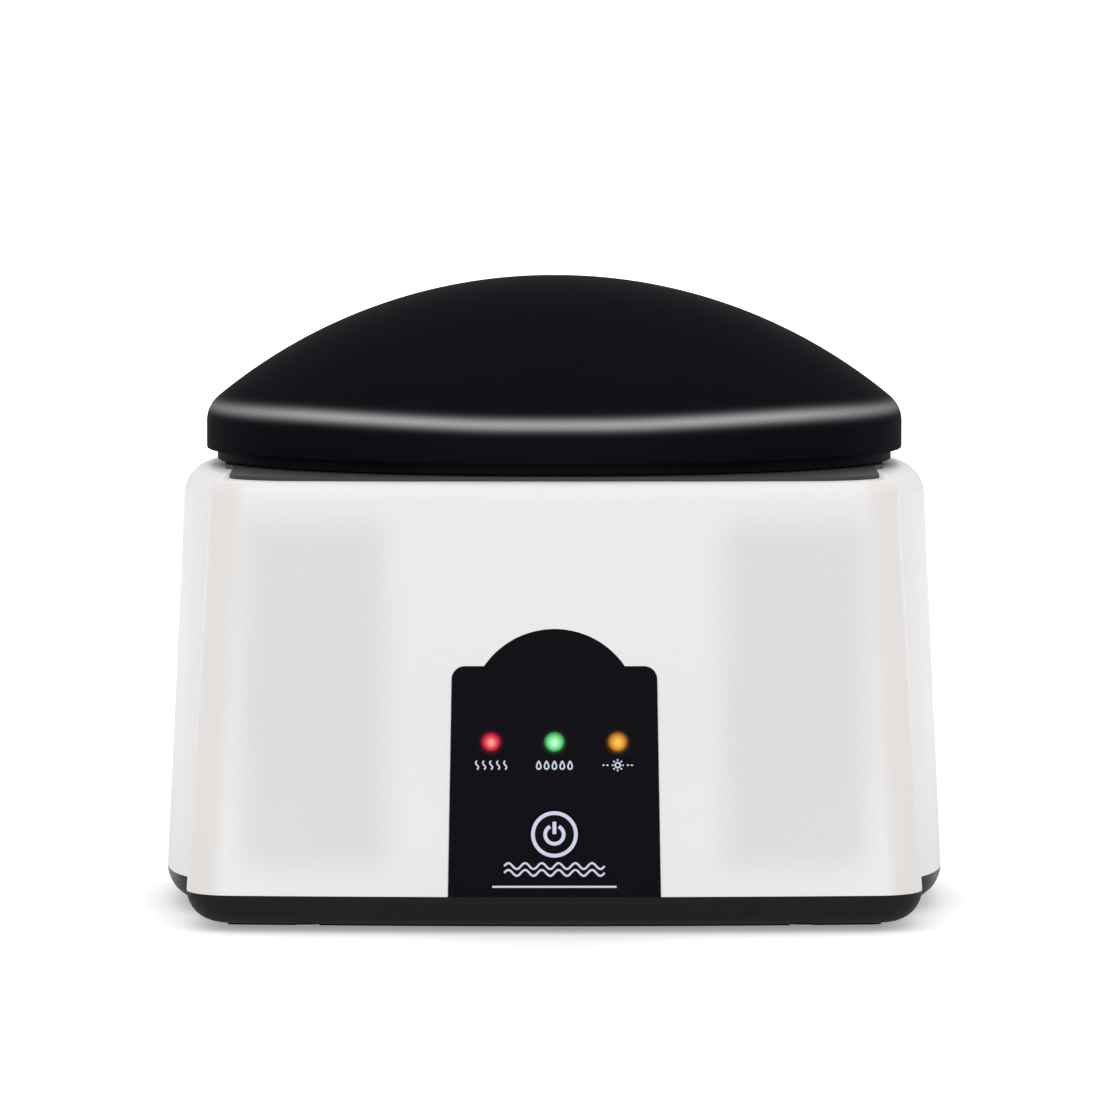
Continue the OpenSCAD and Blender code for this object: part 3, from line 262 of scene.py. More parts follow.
def rings_rig():
    """Rings stacked along a profile. A profile point holds the ring's share of the plan, its inset and its
    height, and the plan is two half superellipses that meet at their widest."""
    rig = Rig(
        "stacked rings",
        Around=96,
        Half_width=1.0,
        Front=1.0,
        Rear=1.0,
        Front_squareness=2.0,
        Rear_squareness=2.0,
        Turn=(0.0, 0.0, 0.0),
        Place=(0.0, 0.0, 0.0),
    )
    tree = rig.tree
    count = rig.made("GeometryNodeAttributeDomainSize", {0: rig.points}, component="MESH")
    grid = rig.made(
        "GeometryNodeMeshGrid",
        {"Size X": 1.0, "Size Y": 1.0, "Vertices X": rig.size("Around") + 1, "Vertices Y": count},
    )
    across, along, _ = rig.position()
    ring = ((along + 0.5) * (Number(tree, count) - 1)).of("ROUND")
    place = rig.made("GeometryNodeInputPosition")
    sample = rig.made(
        "GeometryNodeSampleIndex",
        {"Geometry": rig.points, "Value": place, "Index": ring},
        data_type="FLOAT_VECTOR",
        domain="POINT",
    )
    share, inset, height = parts_of(tree, sample)
    angle = (across + 0.5) * (2 * math.pi)
    cosine, sine = angle.of("COSINE"), angle.of("SINE")
    behind = sine.over(0.0)
    front, rear = rig.size("Front"), rig.size("Rear")
    front_n, rear_n = rig.size("Front_squareness"), rig.size("Rear_squareness")
    depth = front + (rear - front) * behind - inset
    power = 2.0 / (front_n + (rear_n - front_n) * behind)
    x = (rig.size("Half_width") - inset) * cosine.of("SIGN") * abs(cosine) ** power * share
    y = depth * sine.of("SIGN") * abs(sine) ** power * share
    mesh = rig.merged(rig.moved(grid, x, y, height))
    place, turn = rig.start.outputs["Place"], rig.start.outputs["Turn"]
    turned = rig.made("GeometryNodeTransform", {"Geometry": mesh, "Translation": place, "Rotation": turn})
    return rig.close(rig.smooth(turned))


def sweep_rig():
    """A round bar along each line of the starting points. Flat squeezes it against one plane, for print."""
    rig = Rig("bar along a line", Radius=0.001, Around=12, Plane=0.0, Flat=1.0)
    line = rig.made("GeometryNodeMeshToCurve", {0: rig.points})
    around, radius = rig.size("Around"), rig.size("Radius")
    section = rig.made("GeometryNodeCurvePrimitiveCircle", {"Resolution": around, "Radius": radius})
    bar = rig.made(
        "GeometryNodeCurveToMesh", {"Curve": line, "Profile Curve": section, "Fill Caps": True}
    )
    x, y, z = rig.position()
    plane = rig.size("Plane")
    flat = rig.moved(bar, x, plane + (y - plane) * rig.size("Flat"), z)
    return rig.close(rig.smooth(flat))


def screw_rig():
    """A pan-head screw on every starting point: domed head with a cross recess, and a rolled thread."""
    rig = Rig(
        "cross-head screw",
        Head=0.004,
        Head_height=0.0013,
        Thread=0.0022,
        Length=0.006,
        Pitch=0.0008,
        Turn=(0.0, 0.0, 0.0),
    )
    head_r, height = rig.size("Head") / 2, rig.size("Head_height")
    disc = rig.made(
        "GeometryNodeMeshCylinder",
        {"Vertices": 28, "Side Segments": 4, "Fill Segments": 5, "Radius": head_r, "Depth": height},
    )
    x, y, z = rig.position()
    out = reach(x, y) / head_r
    up = z / height + 0.5
    edge = 0.34 * out * out
    taper = 1 - 0.05 * (1 - up)
    domed = rig.moved(disc, x * taper, y * taper, height * (edge + (1 - edge) * up))
    crossed = rig.step("GeometryNodeMeshBoolean", {"Mesh 1": domed}, operation="DIFFERENCE", solver="EXACT")
    for length, width in ((0.62, 0.15), (0.15, 0.62)):
        size = vector_of(rig.tree, rig.size("Head") * length, rig.size("Head") * width, height * 1.2)
        rig.tree.links.new(rig.made("GeometryNodeMeshCube", {"Size": size}), crossed.inputs["Mesh 2"])
    thread_r, length = rig.size("Thread") / 2, rig.size("Length")
    bar = rig.made(
        "GeometryNodeMeshCylinder",
        {"Vertices": 14, "Side Segments": 40, "Fill Segments": 1, "Radius": thread_r, "Depth": length},
    )
    x, y, z = rig.position()
    winding = (z / rig.size("Pitch") + y.of("ARCTAN2", x) / (2 * math.pi)).of("FRACT")
    ridge = 1 - 0.2 * abs(winding * 2 - 1)
    tip = 1 - 0.45 * (z / length + 0.5).rise(0.86, 1.0)
    thread = rig.moved(bar, x * ridge * tip, y * ridge * tip, z + length / 2 + height)
    whole = rig.joined(crossed.outputs[0], rig.smooth(thread))
    turn = rig.start.outputs["Turn"]
    return rig.close(
        rig.made(
            "GeometryNodeInstanceOnPoints", {"Points": rig.points, "Instance": whole, "Rotation": turn}
        )
    )


RINGS, BAR, SCREW = rings_rig(), sweep_rig(), screw_rig()


# ---- Making pieces ----

FACING_FRONT = (math.pi / 2, 0.0, 0.0)
FACING_SIDE = (0.0, math.pi / 2, 0.0)
UPSIDE_DOWN = (math.pi, 0.0, 0.0)


def stand(name, data):
    """Puts a mesh or a lamp into the scene as an object at the origin."""
    piece = bpy.data.objects.new(name, data)
    scene.collection.objects.link(piece)
    return piece


def finished(piece, name):
    """Keeps what the modifiers make of a piece as its plain mesh."""
    graph = bpy.context.evaluated_depsgraph_get()
    mesh = bpy.data.meshes.new_from_object(piece.evaluated_get(graph), depsgraph=graph)
    piece.modifiers.clear()
    piece.data = mesh
    mesh.name = name
    return piece


def outward(mesh):
    """Turns a closed mesh the right way out."""
    work = bmesh.new()
    work.from_mesh(mesh)
    if work.calc_volume(signed=True) < 0:
        bmesh.ops.reverse_faces(work, faces=work.faces)
    work.to_mesh(mesh)
    work.free()


def grown(rig, name, finish, points, lines=(), **sizes):
    """Runs a geometry tree on its starting points and keeps the mesh that it makes."""
    start = bpy.data.meshes.new(name + "_start")
    start.from_pydata([tuple(p) for p in points], lines, [])
    piece = stand(name, start)
    step = piece.modifiers.new("form", "NODES")
    step.node_group = rig.tree
    for item in rig.tree.interface.items_tree:
        if item.in_out == "INPUT" and item.name in sizes:
            step[item.identifier] = sizes[item.name]
        if item.in_out == "INPUT" and item.name == "Finish":
            step[item.identifier] = finish
    bpy.context.view_layer.update()
    finished(piece, name)
    outward(piece.data)
    return piece


def lathe(name, finish, profile, around=64, turn=(0.0, 0.0, 0.0), place=(0.0, 0.0, 0.0)):
    """A turned piece. The profile lists radius and height, and its ends lie on the axis or on each other."""
    points = [(r * MM, 0, z * MM) for r, z in profile]
    return grown(RINGS, name, finish, points, Around=around, Turn=turn, Place=tuple(at(*place)))


def bars(name, finish, routes, radius, around=12, plane=0.0, flat=1.0, closed=()):
    points, lines = [], []
    for number, route in enumerate(routes):
        first = len(points)
        points += [at(*p) for p in route]
        lines += [(first + i, first + i + 1) for i in range(len(route) - 1)]
        if number in closed:
            lines.append((len(points) - 1, first))
    return grown(
        BAR, name, finish, points, lines, Radius=radius * MM, Around=around, Plane=plane * MM, Flat=flat
    )


def one_piece(name, pieces):
    """Joins meshes that belong to the same piece."""
    work = bmesh.new()
    for piece in pieces:
        work.from_mesh(piece.data)
    mesh = pieces[0].data.copy()
    work.to_mesh(mesh)
    work.free()
    for piece in pieces:
        bpy.data.objects.remove(piece)
    return stand(name, mesh)


def belongs(piece, body, finish_slot, *nodes):
    """Hangs a piece on the body that it rides on and hides the solids that it stands for. Its finish slot is
    not used.
    """
    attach(piece, body)
    if nodes:
        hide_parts(*nodes)
    return piece


FLAT = math.radians(0.2)
CREASE = 32


def flood(starts, neighbours):
    """Groups of things that are linked, each group as a list."""
    seen, groups = set(), []
    for start in starts:
        if start in seen:
            continue
        seen.add(start)
        group = [start]
        for thing in group:
            for other in neighbours(thing):
                if other not in seen:
                    seen.add(other)
                    group.append(other)
        groups.append(group)
    return groups


def beside(face):
    """The faces next to a face that lie in the same flat wall."""
    level = [e for e in face.edges if len(e.link_faces) == 2 and e.calc_face_angle(1) < FLAT]
    return [f for e in level for f in e.link_faces]


def flatten(work):
    """Joins the triangles of every flat wall. A winding wall is cut through its middle first, and one with
    holes through each of them, so that what is left has plain outlines."""
    bmesh.ops.remove_doubles(work, verts=work.verts, dist=WELD)
    bmesh.ops.dissolve_degenerate(work, dist=WELD, edges=work.edges)
    wall = work.faces.layers.int.new("wall")
    cuts = []
    for number, faces in enumerate(flood(work.faces, beside), 1):
        inside = set(faces)
        for face in faces:
            face[wall] = number
        rim = {e for f in faces for e in f.edges if any(other not in inside for other in e.link_faces)}
        loops = flood(rim, lambda e: [other for v in e.verts for other in v.link_edges if other in rim])
        if len(loops) < 2 and len(rim) < 20:
            continue
        axis = 1 if abs(faces[0].normal.x) > 0.7 else 0
        along = [[v.co[axis] for e in loop for v in e.verts] for loop in loops]
        middles = sorted((max(line) + min(line)) / 2 for line in along)
        kept = [m for i, m in enumerate(middles) if i == 0 or m - middles[i - 1] > 0.02 * MM]
        cuts += [(number, axis, middle) for middle in kept]
    for number, axis, middle in cuts:
        faces = [f for f in work.faces if f[wall] == number]
        spans = [[v.co[axis] for v in f.verts] for f in faces]
        near = [f for f, span in zip(faces, spans) if min(span) < middle < max(span)]
        geom = list({*near, *(e for f in near for e in f.edges), *(v for f in near for v in f.verts)})
        place, normal = Vector(), Vector()
        place[axis], normal[axis] = middle, 1
        bmesh.ops.bisect_plane(work, geom=geom, dist=WELD / 2, plane_co=place, plane_no=normal)
        for edge in {e for f in work.faces if f[wall] == number for e in f.edges}:
            if all(abs(v.co[axis] - middle) < WELD for v in edge.verts):
                edge.seam = all(f[wall] == number for f in edge.link_faces)
    bmesh.ops.dissolve_limit(work, angle_limit=FLAT, verts=work.verts, edges=work.edges, delimit={"SEAM"})
    work.faces.layers.int.remove(work.faces.layers.int["wall"])
    for edge in work.edges:
        edge.seam = False


def eased(node, name, finish, edge):
    """A moulded copy of a CAD solid: flat walls joined, sharp edges eased, walls shaded smooth."""
    work = bmesh.new()
    work.from_mesh(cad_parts[node].data)
    flatten(work)
    mesh = bpy.data.meshes.new(name)
    work.to_mesh(mesh)
    work.free()
    mesh.materials.clear()
    mesh.materials.append(finish)
    mesh.polygons.foreach_set("material_index", [0] * len(mesh.polygons))
    piece = stand(name, mesh)
    ease = piece.modifiers.new("edge", "BEVEL")
    ease.width, ease.segments = edge * MM, 2
    ease.limit_method, ease.angle_limit = "ANGLE", math.radians(CREASE)
    ease.miter_outer = "MITER_ARC"
    ease.use_clamp_overlap = True
    finished(piece, name)
    smooth_walls(piece.data)
    return piece


def smooth_walls(mesh, crease=CREASE):
    """Smooth shading, broken where two faces meet at more than the crease angle. Every corner leans on the
    largest faces around it, so flat walls stay flat up to their eased edges."""
    mesh.polygons.foreach_set("use_smooth", [True] * len(mesh.polygons))
    work = bmesh.new()
    work.from_mesh(mesh)
    limit = math.radians(crease)
    heavy = {face: face.normal * face.calc_area() ** 2 for face in work.faces}
    normals = [None] * sum(len(face.loops) for face in work.faces)
    first = {}
    count = 0
    for face in work.faces:
        for corner in face.loops:
            first[corner] = count
            count += 1
    done = set()
    for start in first:
        if start in done:
            continue
        fan, ahead = {start}, [start]
        while ahead:
            corner = ahead.pop()
            for edge, step in ((corner.edge, 0), (corner.link_loop_prev.edge, 1)):
                if len(edge.link_loops) != 2 or edge.calc_face_angle(0) > limit:
                    continue
                across = next(loop for loop in edge.link_loops if loop.face is not corner.face)
                other = across if across.vert is corner.vert else across.link_loop_next
                if other.vert is corner.vert and other not in fan:
                    fan.add(other)
                    ahead.append(other)
        total = sum((heavy[corner.face] for corner in fan), Vector())
        if total.length == 0:
            total = start.face.normal
        total = tuple(total.normalized())
        for corner in fan:
            normals[first[corner]] = total
            done.add(corner)
    work.free()
    mesh.normals_split_custom_set(normals)


def rounded(corners, steps=6):
    """A line through corners (a, b, radius) with each corner rounded by its radius."""
    line = []
    last = len(corners) - 1
    for i, (a, b, radius) in enumerate(corners):
        here = Vector((a, b))
        if radius == 0 or i in (0, last):
            line.append((a, b))
            continue
        before = (Vector(corners[i - 1][:2]) - here).normalized()
        after = (Vector(corners[i + 1][:2]) - here).normalized()
        half = before.angle(after) / 2
        run = radius / math.tan(half)
        centre = here + (before + after).normalized() * (radius / math.sin(half))
        first, final = here + before * run - centre, here + after * run - centre
        swing = first.angle_signed(final)
        for k in range(steps + 1):
            line.append(tuple(centre + Matrix.Rotation(-swing * k / steps, 2) @ first))
    return line


def pin(name, finish, radius, low, high, eases, around, turn=(0.0, 0.0, 0.0), place=(0.0, 0.0, 0.0)):
    """A plain round piece whose low and high ends are each eased by a radius."""
    ends = zip((low, high), eases)
    profile = [(0, low, 0), *((radius, height, ease) for height, ease in ends), (0, high, 0)]
    return lathe(name, finish, rounded(profile), around, turn, place)


def prism(name, finish, outline, holes, low, high, edge=0.2):
    """An outline in depth and height, with holes, pushed along X from low to high, and eased."""
    work = bmesh.new()
    edges = []
    for loop in [outline, *holes]:
        ring = [work.verts.new(at(low, y, z)) for y, z in loop]
        edges += [work.edges.new((ring[i - 1], ring[i])) for i in range(len(ring))]
    bmesh.ops.triangle_fill(work, use_beauty=True, edges=edges)
    pushed = bmesh.ops.extrude_face_region(work, geom=work.faces[:])
    moved = [v for v in pushed["geom"] if isinstance(v, bmesh.types.BMVert)]
    bmesh.ops.translate(work, verts=moved, vec=at(high - low, 0, 0))
    bmesh.ops.dissolve_limit(work, angle_limit=FLAT, verts=work.verts, edges=work.edges)
    bmesh.ops.recalc_face_normals(work, faces=work.faces)
    sharp = [e for e in work.edges if e.calc_face_angle(0) > math.radians(50)]
    bmesh.ops.bevel(work, geom=sharp, offset=edge * MM, segments=2, affect="EDGES", clamp_overlap=True)
    mesh = bpy.data.meshes.new(name)
    work.to_mesh(mesh)
    work.free()
    mesh.materials.append(finish)
    smooth_walls(mesh)
    return stand(name, mesh)


# ---- Finishes ----


def times(colour, share):
    return tuple(c * share for c in colour)


class Paint:
    """A procedural finish. Constants go on the shader's own sockets, and what varies is linked."""

    def __init__(self, name, **constants):
        self.material = bpy.data.materials.new(name)
        self.material.use_nodes = True
        self.tree = self.material.node_tree
        self.shader = self.tree.nodes["Principled BSDF"]
        self.place = self.tree.nodes.new("ShaderNodeTexCoord").outputs["Object"]
        self.x, self.y, self.z = parts_of(self.tree, self.place)
        for name_of_socket, value in constants.items():
            self.shader.inputs[name_of_socket.replace("_", " ")].default_value = value

    def grain(self, scale, detail=2.0, stretch=(1.0, 1.0, 1.0), shift=0.0):
        """Noise from 0 to 1 around 0.5. Scale counts its lumps per metre."""
        mapping = self.tree.nodes.new("ShaderNodeMapping")
        feed(self.tree, mapping.inputs["Vector"], self.place)
        mapping.inputs["Scale"].default_value = stretch
        mapping.inputs["Location"].default_value = (shift, shift * 0.7, -shift)
        noise = self.tree.nodes.new("ShaderNodeTexNoise")
        feed(self.tree, noise.inputs["Vector"], mapping.outputs[0])
        noise.inputs["Scale"].default_value = scale
        noise.inputs["Detail"].default_value = detail
        return Number(self.tree, noise.outputs[0])

    def mixed(self, share, first, second):
        mix = self.tree.nodes.new("ShaderNodeMix")
        mix.data_type = "RGBA"
        feed(self.tree, mix.inputs[0], share)
        for socket, colour in ((mix.inputs[6], first), (mix.inputs[7], second)):
            feed(self.tree, socket, (*colour, 1.0) if isinstance(colour, tuple) else colour)
        return mix.outputs[2]

    def colour(self, value):
        feed(self.tree, self.shader.inputs["Base Color"], value)

    def shine(self, value):
        feed(self.tree, self.shader.inputs["Roughness"], value)

    def relief(self, height, depth, strength=1.0):
        """Bumps of that depth in millimetres."""
        bump = self.tree.nodes.new("ShaderNodeBump")
        bump.inputs["Strength"].default_value = strength
        bump.inputs["Distance"].default_value = depth * MM
        feed(self.tree, bump.inputs["Height"], height)
        feed(self.tree, self.shader.inputs["Normal"], bump.outputs[0])

    def glow(self, colour, strength):
        feed(self.tree, self.shader.inputs["Emission Color"], colour)
        feed(self.tree, self.shader.inputs["Emission Strength"], strength)

    def from_lamp(self, x):
        """Distance from the axis of the lamp at x."""
        return reach(self.x - x * MM, self.z - LAMP_Z * MM)

    def from_side(self, foot_z, lean):
        """Distance from the middle, straightened by how many degrees the side leans in above foot_z."""
        return abs(self.x) + (self.z - foot_z) * math.tan(math.radians(lean))


def white_moulding(name):
    paint = Paint(name, IOR=1.45, Specular_IOR_Level=0.15)
    cloud = paint.grain(14, 2.0, shift=3.1)
    paint.shine(0.36 + 0.1 * paint.grain(160, 3.0))
    paint.relief(paint.grain(900, 2.0), 0.012, 0.35)
    return paint, cloud


def housing_white():
    """Wide body: white, with painted shade that greys it towards its outer edges."""
    paint, cloud = white_moulding("white_housing_gloss")
    # Painted shade: grey laid over the body's outer edges, where its sides turn away from the light.
    side = paint.from_side(0.0095, 2.7).rise(0.0965, 0.1)
    base = paint.mixed(cloud, (0.835, 0.835, 0.835), (0.855, 0.855, 0.855))
    paint.colour(paint.mixed(side * 0.6, base, (0.70, 0.70, 0.705)))
    return paint.material


def front_white():
    """Front panel: painted reflections as two broad soft grey fields, painted light lifting its lower part,
    and painted shade as a warm tint at its rounded outer edges.
    """
    paint, cloud = white_moulding("white_front_gloss")
    # Painted reflection: two broad soft grey fields on the front face, darker where a glossy face would
    # mirror dark surroundings.
    painted_reflection_field = abs(paint.x).band(0.042, 0.078, 0.013) * paint.z.band(0.0165, 0.1035, 0.013)
    ahead = 1 - paint.y.rise(-0.068, -0.058)
    # Painted light: the panel's white and its grey fields are lifted towards the bottom, where less light
    # reaches them.
    low = 1 - paint.z.rise(0.005, 0.06)
    base = paint.mixed(cloud, (0.830, 0.830, 0.830), (0.850, 0.850, 0.850))
    base = paint.mixed(low, base, (0.885, 0.885, 0.885))
    shade = paint.mixed(low, (0.73, 0.73, 0.73), (0.765, 0.765, 0.765))
    shaded = paint.mixed(painted_reflection_field * ahead, base, shade)
    # Painted shade: a warm grey tint along the rounded outer edges, where the panel turns away from the
    # light.
    edge = paint.from_side(0.0095, 3.6).rise(0.0825, 0.0865)
    paint.colour(paint.mixed(edge * 0.9, shaded, (0.80, 0.765, 0.75)))
    return paint.material


PAINTED_HIGHLIGHT_SPREAD = 0.001


def lid_black():
    """Polished black with a painted highlight: a soft pale line where the dome turns into its rim."""
    paint = Paint("black_lid_gloss", IOR=1.45, Specular_IOR_Level=0.006)
    # Painted highlight: a pale line in the colour along the rounding, strongest at the front and fading
    # towards the sides and the rear.
    crease = paint.z - (0.1269 + 0.0014 * abs(paint.x).rise(0.01, 0.07))
    line = 2.718 ** (crease * crease * (-1 / (2 * PAINTED_HIGHLIGHT_SPREAD**2)))
    highlight_fade = (1 - abs(paint.x).rise(0.055, 0.0905) * 0.45) * (1 - paint.y.rise(-0.03, 0.03) * 0.75)
    cloud = paint.grain(30, 2.0, shift=1.7)
    dark = paint.mixed(cloud, (0.0053, 0.0048, 0.0070), (0.0060, 0.0055, 0.0080))
    paint.colour(paint.mixed(line * highlight_fade, dark, (0.34, 0.34, 0.345)))
    paint.shine(0.6 + 0.08 * paint.grain(220, 2.0))
    paint.relief(paint.grain(800, 1.0), 0.008, 0.25)
    return paint.material


def black_moulding(name, rough, base, lighter):
    """Black with a faint unevenness and a fine skin."""
    paint = Paint(name, IOR=1.45, Specular_IOR_Level=0.02)
    paint.colour(paint.mixed(paint.grain(60, 2.0, shift=0.4), base, lighter))
    paint.shine(rough + 0.08 * paint.grain(300, 2.0))
    paint.relief(paint.grain(1200, 1.0), 0.006, 0.3)
    return paint


BLACK = (0.0052, 0.0047, 0.0068)


def plain_black(name, rough, base=BLACK):
    return black_moulding(name, rough, base, times(base, 1.25)).material


def plate_black():
    """Black plate with a painted glow of each lamp's light around each lens."""
    paint = black_moulding("black_plate_gloss", 0.34, BLACK, (0.0062, 0.0056, 0.0080))
    # Painted light: a soft coloured glow, given out by the plate itself, around each lamp.
    glow = (0.0, 0.0, 0.0)
    for x, tint in zip(LAMP_X, ((0.9, 0.05, 0.09), (0.08, 0.75, 0.16), (0.9, 0.42, 0.03))):
        near = (1 - paint.from_lamp(x).rise(0.0016, 0.0037)) ** 1.5
        glow = paint.mixed(near, glow, tint)
    paint.glow(glow, 0.15)
    return paint.material


def base_black():
    """Fine-grained black plastic with painted highlights at its four rounded corners."""
    paint = Paint("black_base_grain", IOR=1.45, Specular_IOR_Level=0.1)
    # Painted highlight: the corners are coloured a lighter grey where they would catch the light.
    corner = abs(paint.x).rise(0.0935, 0.1) * paint.z.rise(0.001, 0.0095)
    cloud = paint.grain(45, 3.0)
    dark = paint.mixed(cloud, (0.0125, 0.012, 0.012), (0.0155, 0.0145, 0.0145))
    paint.colour(paint.mixed(corner, dark, (0.19, 0.19, 0.19)))
    paint.shine(0.5 + 0.15 * paint.grain(700, 2.0))
    paint.relief(paint.grain(2600, 2.0), 0.03, 0.6)
    return paint.material


def lens(name, x, core, body):
    """Lamp lens: lit from inside, pale at the middle and dying out to its rim."""
    paint = Paint(name, IOR=1.5, Specular_IOR_Level=0.15)
    out = paint.from_lamp(x) / (LAMP_D / 2 * MM)
    paint.colour(paint.mixed(out.rise(0.4, 0.95), times(body, 0.06), (0.005, 0.005, 0.007)))
    paint.glow(paint.mixed(out.rise(0.0, 0.62), core, body), 1.0 - 0.88 * out.rise(0.5, 1.12))
    paint.shine(0.22 + 0.06 * paint.grain(500, 2.0))
    paint.relief(paint.grain(1500, 1.0), 0.01, 0.2)
    return paint.material


def metal(name, base, rough, rings=False, stretch=(1.0, 1.0, 1.0)):
    """Metal with its turning or rolling marks."""
    paint = Paint(name, Metallic=1.0)
    marks = paint.grain(700, 3.0, stretch)
    if rings:
        turned = (reach(paint.x, paint.y) * 6200).of("SINE") * 0.5 + 0.5
        marks = turned * 0.4 + marks * 0.6
    paint.colour(paint.mixed(marks, times(base, 0.84), base))
    paint.shine(rough + 0.16 * marks)
    paint.relief(marks, 0.006, 0.5)
    return paint.material


def soft_rubber(name, base):
    paint = Paint(name, IOR=1.5, Specular_IOR_Level=0.3)
    paint.colour(paint.mixed(paint.grain(90, 3.0), times(base, 0.85), times(base, 1.15)))
    paint.shine(0.62 + 0.2 * paint.grain(400, 2.0))
    paint.relief(paint.grain(1500, 2.0), 0.03, 0.5)
    return paint.material


def moulded(name, base, rough, level, depth=0.02):
    """Grained or satin plastic in one colour, a touch lighter where the grain stands up."""
    paint = Paint(name, IOR=1.47, Specular_IOR_Level=level)
    fine = paint.grain(1800, 3.0)
    broad = paint.grain(40, 2.0, shift=2.2)
    paint.colour(paint.mixed(broad * 0.6 + fine * 0.4, times(base, 0.9), times(base, 1.08)))
    paint.shine(rough + 0.14 * fine)
    paint.relief(fine, depth, 0.5)
    return paint.material


def board_green():
    """Solder mask with copper tracks that show through as lighter lines."""
    paint = Paint("board_green_mask", IOR=1.5, Specular_IOR_Level=0.4)
    across = paint.x * 240 + paint.grain(60, 0.0) * 1.5
    up = paint.z * 180 + paint.grain(45, 0.0, shift=4.0) * 1.5
    masked = abs(across.of("FRACT") - 0.5).rise(0.10, 0.14) * abs(up.of("FRACT") - 0.5).rise(0.08, 0.12)
    mask = paint.mixed(paint.grain(70, 2.0), (0.010, 0.085, 0.038), (0.014, 0.11, 0.05))
    paint.colour(paint.mixed(masked, (0.03, 0.19, 0.085), mask))
    paint.shine(0.3 + 0.1 * paint.grain(500, 2.0))
    paint.relief(masked, 0.03, 0.4)
    return paint.material


def mica_flake():
    """Layered mica: tawny flakes pressed into a sheet."""
    paint = Paint("mica_flakes", IOR=1.55, Specular_IOR_Level=0.5)
    cells = paint.tree.nodes.new("ShaderNodeTexVoronoi")
    feed(paint.tree, cells.inputs["Vector"], paint.place)
    cells.inputs["Scale"].default_value = 420
    flake = parts_of(paint.tree, cells.outputs["Color"])[0]
    paint.colour(paint.mixed(flake, (0.42, 0.34, 0.2), (0.62, 0.55, 0.38)))
    paint.shine(0.28 + 0.3 * flake)
    paint.relief(flake, 0.03, 0.4)
    return paint.material


def print_white():
    """Pale screen print, a little thin in places."""
    paint = Paint("pale_print", IOR=1.45, Specular_IOR_Level=0.2)
    thin = paint.grain(900, 2.0)
    paint.colour(paint.mixed(thin, (0.64, 0.66, 0.83), (0.72, 0.74, 0.90)))
    paint.shine(0.5 + 0.1 * thin)
    paint.relief(thin, 0.005, 0.3)
    return paint.material


FINISH = {
    "housing": housing_white(),
    "front": front_white(),
    "lid": lid_black(),
    "plate": plate_black(),
    "button": plain_black("black_button_gloss", 0.3),
    # The liner's black is lighter than the other blacks: painted light that lifts it out of the shade under
    # the lid.
    "liner": plain_black("black_liner_gloss", 0.62, (0.0075, 0.007, 0.0095)),
    "base": base_black(),
    "red": lens("red_lens_lit", LAMP_X[0], (0.94, 0.45, 0.30), (0.79, 0.03, 0.075)),
    "green": lens("green_lens_lit", LAMP_X[1], (0.66, 1.0, 0.78), (0.16, 0.80, 0.24)),
    "amber": lens("amber_lens_lit", LAMP_X[2], (0.92, 0.74, 0.05), (0.77, 0.29, 0.03)),
    "print": print_white(),
    "foot": soft_rubber("foot_rubber_black", (0.02, 0.02, 0.02)),
    "gasket": soft_rubber("gasket_rubber_grey", (0.05, 0.05, 0.052)),
    "seal": soft_rubber("seal_silicone_red", (0.45, 0.06, 0.04)),
    "screw": metal("screw_steel_plated", (0.62, 0.62, 0.64), 0.28),
    "steel": metal("rolled_steel", (0.58, 0.58, 0.6), 0.3, stretch=(1.0, 12.0, 1.0)),
    "dish": metal("spun_aluminium", (0.80, 0.80, 0.82), 0.26, rings=True),
    # The tub's dark grey is also painted shade: its flange stands in for the band of shade under the lid's
    # rim.
    "tub": moulded("grey_tub_satin", (0.052, 0.052, 0.053), 0.5, 0.2),
    "tray": moulded("tray_plastic_pale", (0.70, 0.70, 0.71), 0.42, 0.35, depth=0.01),
    "dark": moulded("dark_plastic_matte", (0.02, 0.02, 0.022), 0.5, 0.3),
    "cream": moulded("connector_cream_matte", (0.72, 0.67, 0.55), 0.5, 0.3),
    "sleeve": moulded("capacitor_sleeve_blue", (0.02, 0.03, 0.12), 0.25, 0.5, depth=0.004),
    "red wire": moulded("red_wire_jacket", (0.46, 0.02, 0.02), 0.35, 0.4, depth=0.005),
    "white wire": moulded("white_wire_jacket", (0.68, 0.68, 0.68), 0.35, 0.4, depth=0.005),
    "black wire": moulded("black_wire_jacket", (0.02, 0.02, 0.02), 0.35, 0.4, depth=0.005),
    "board": board_green(),
    "mica": mica_flake(),
}

# ---- Moulded shells ----

for body, node, finish, finish_slot, edge in (
    ("housing", "main_shell", "housing", "white_housing", 0.3),
    ("housing", "front_panel", "front", "white_front", 0.3),
    ("housing", "control_plate", "plate", "black_plate", 0.15),
    ("housing", "base_pan", "base", "black_base", 0.3),
    ("housing", "steam_tub", "tub", "grey_tub", 0.25),
    ("housing", "power_inlet", "dark", "dark_plastic", 0.2),
    ("housing", "inlet_nut", "screw", "screw_steel", 0.25),
    ("housing", "push_switch", "dark", "dark_plastic", 0.12),
    ("housing", "control_board", "board", "board_green", 0.1),
    ("housing", "heater_clamp", "steel", "screw_steel", 0.15),
    ("housing", "controller_chip", "dark", "dark_plastic", 0.08),
    ("housing", "heater_transistor", "dark", "dark_plastic", 0.15),
    ("housing", "wire_connectors", "cream", "connector_cream", 0.25),
    ("tray", "finger_tray", "tray", "tray_plastic", 0.35),
    ("lid", "lid_liner", "liner", "black_liner", 0.25),
):
    belongs(eased(node, node + "_shell", FINISH[finish], edge), body, finish_slot, node)

# ---- Lid ----


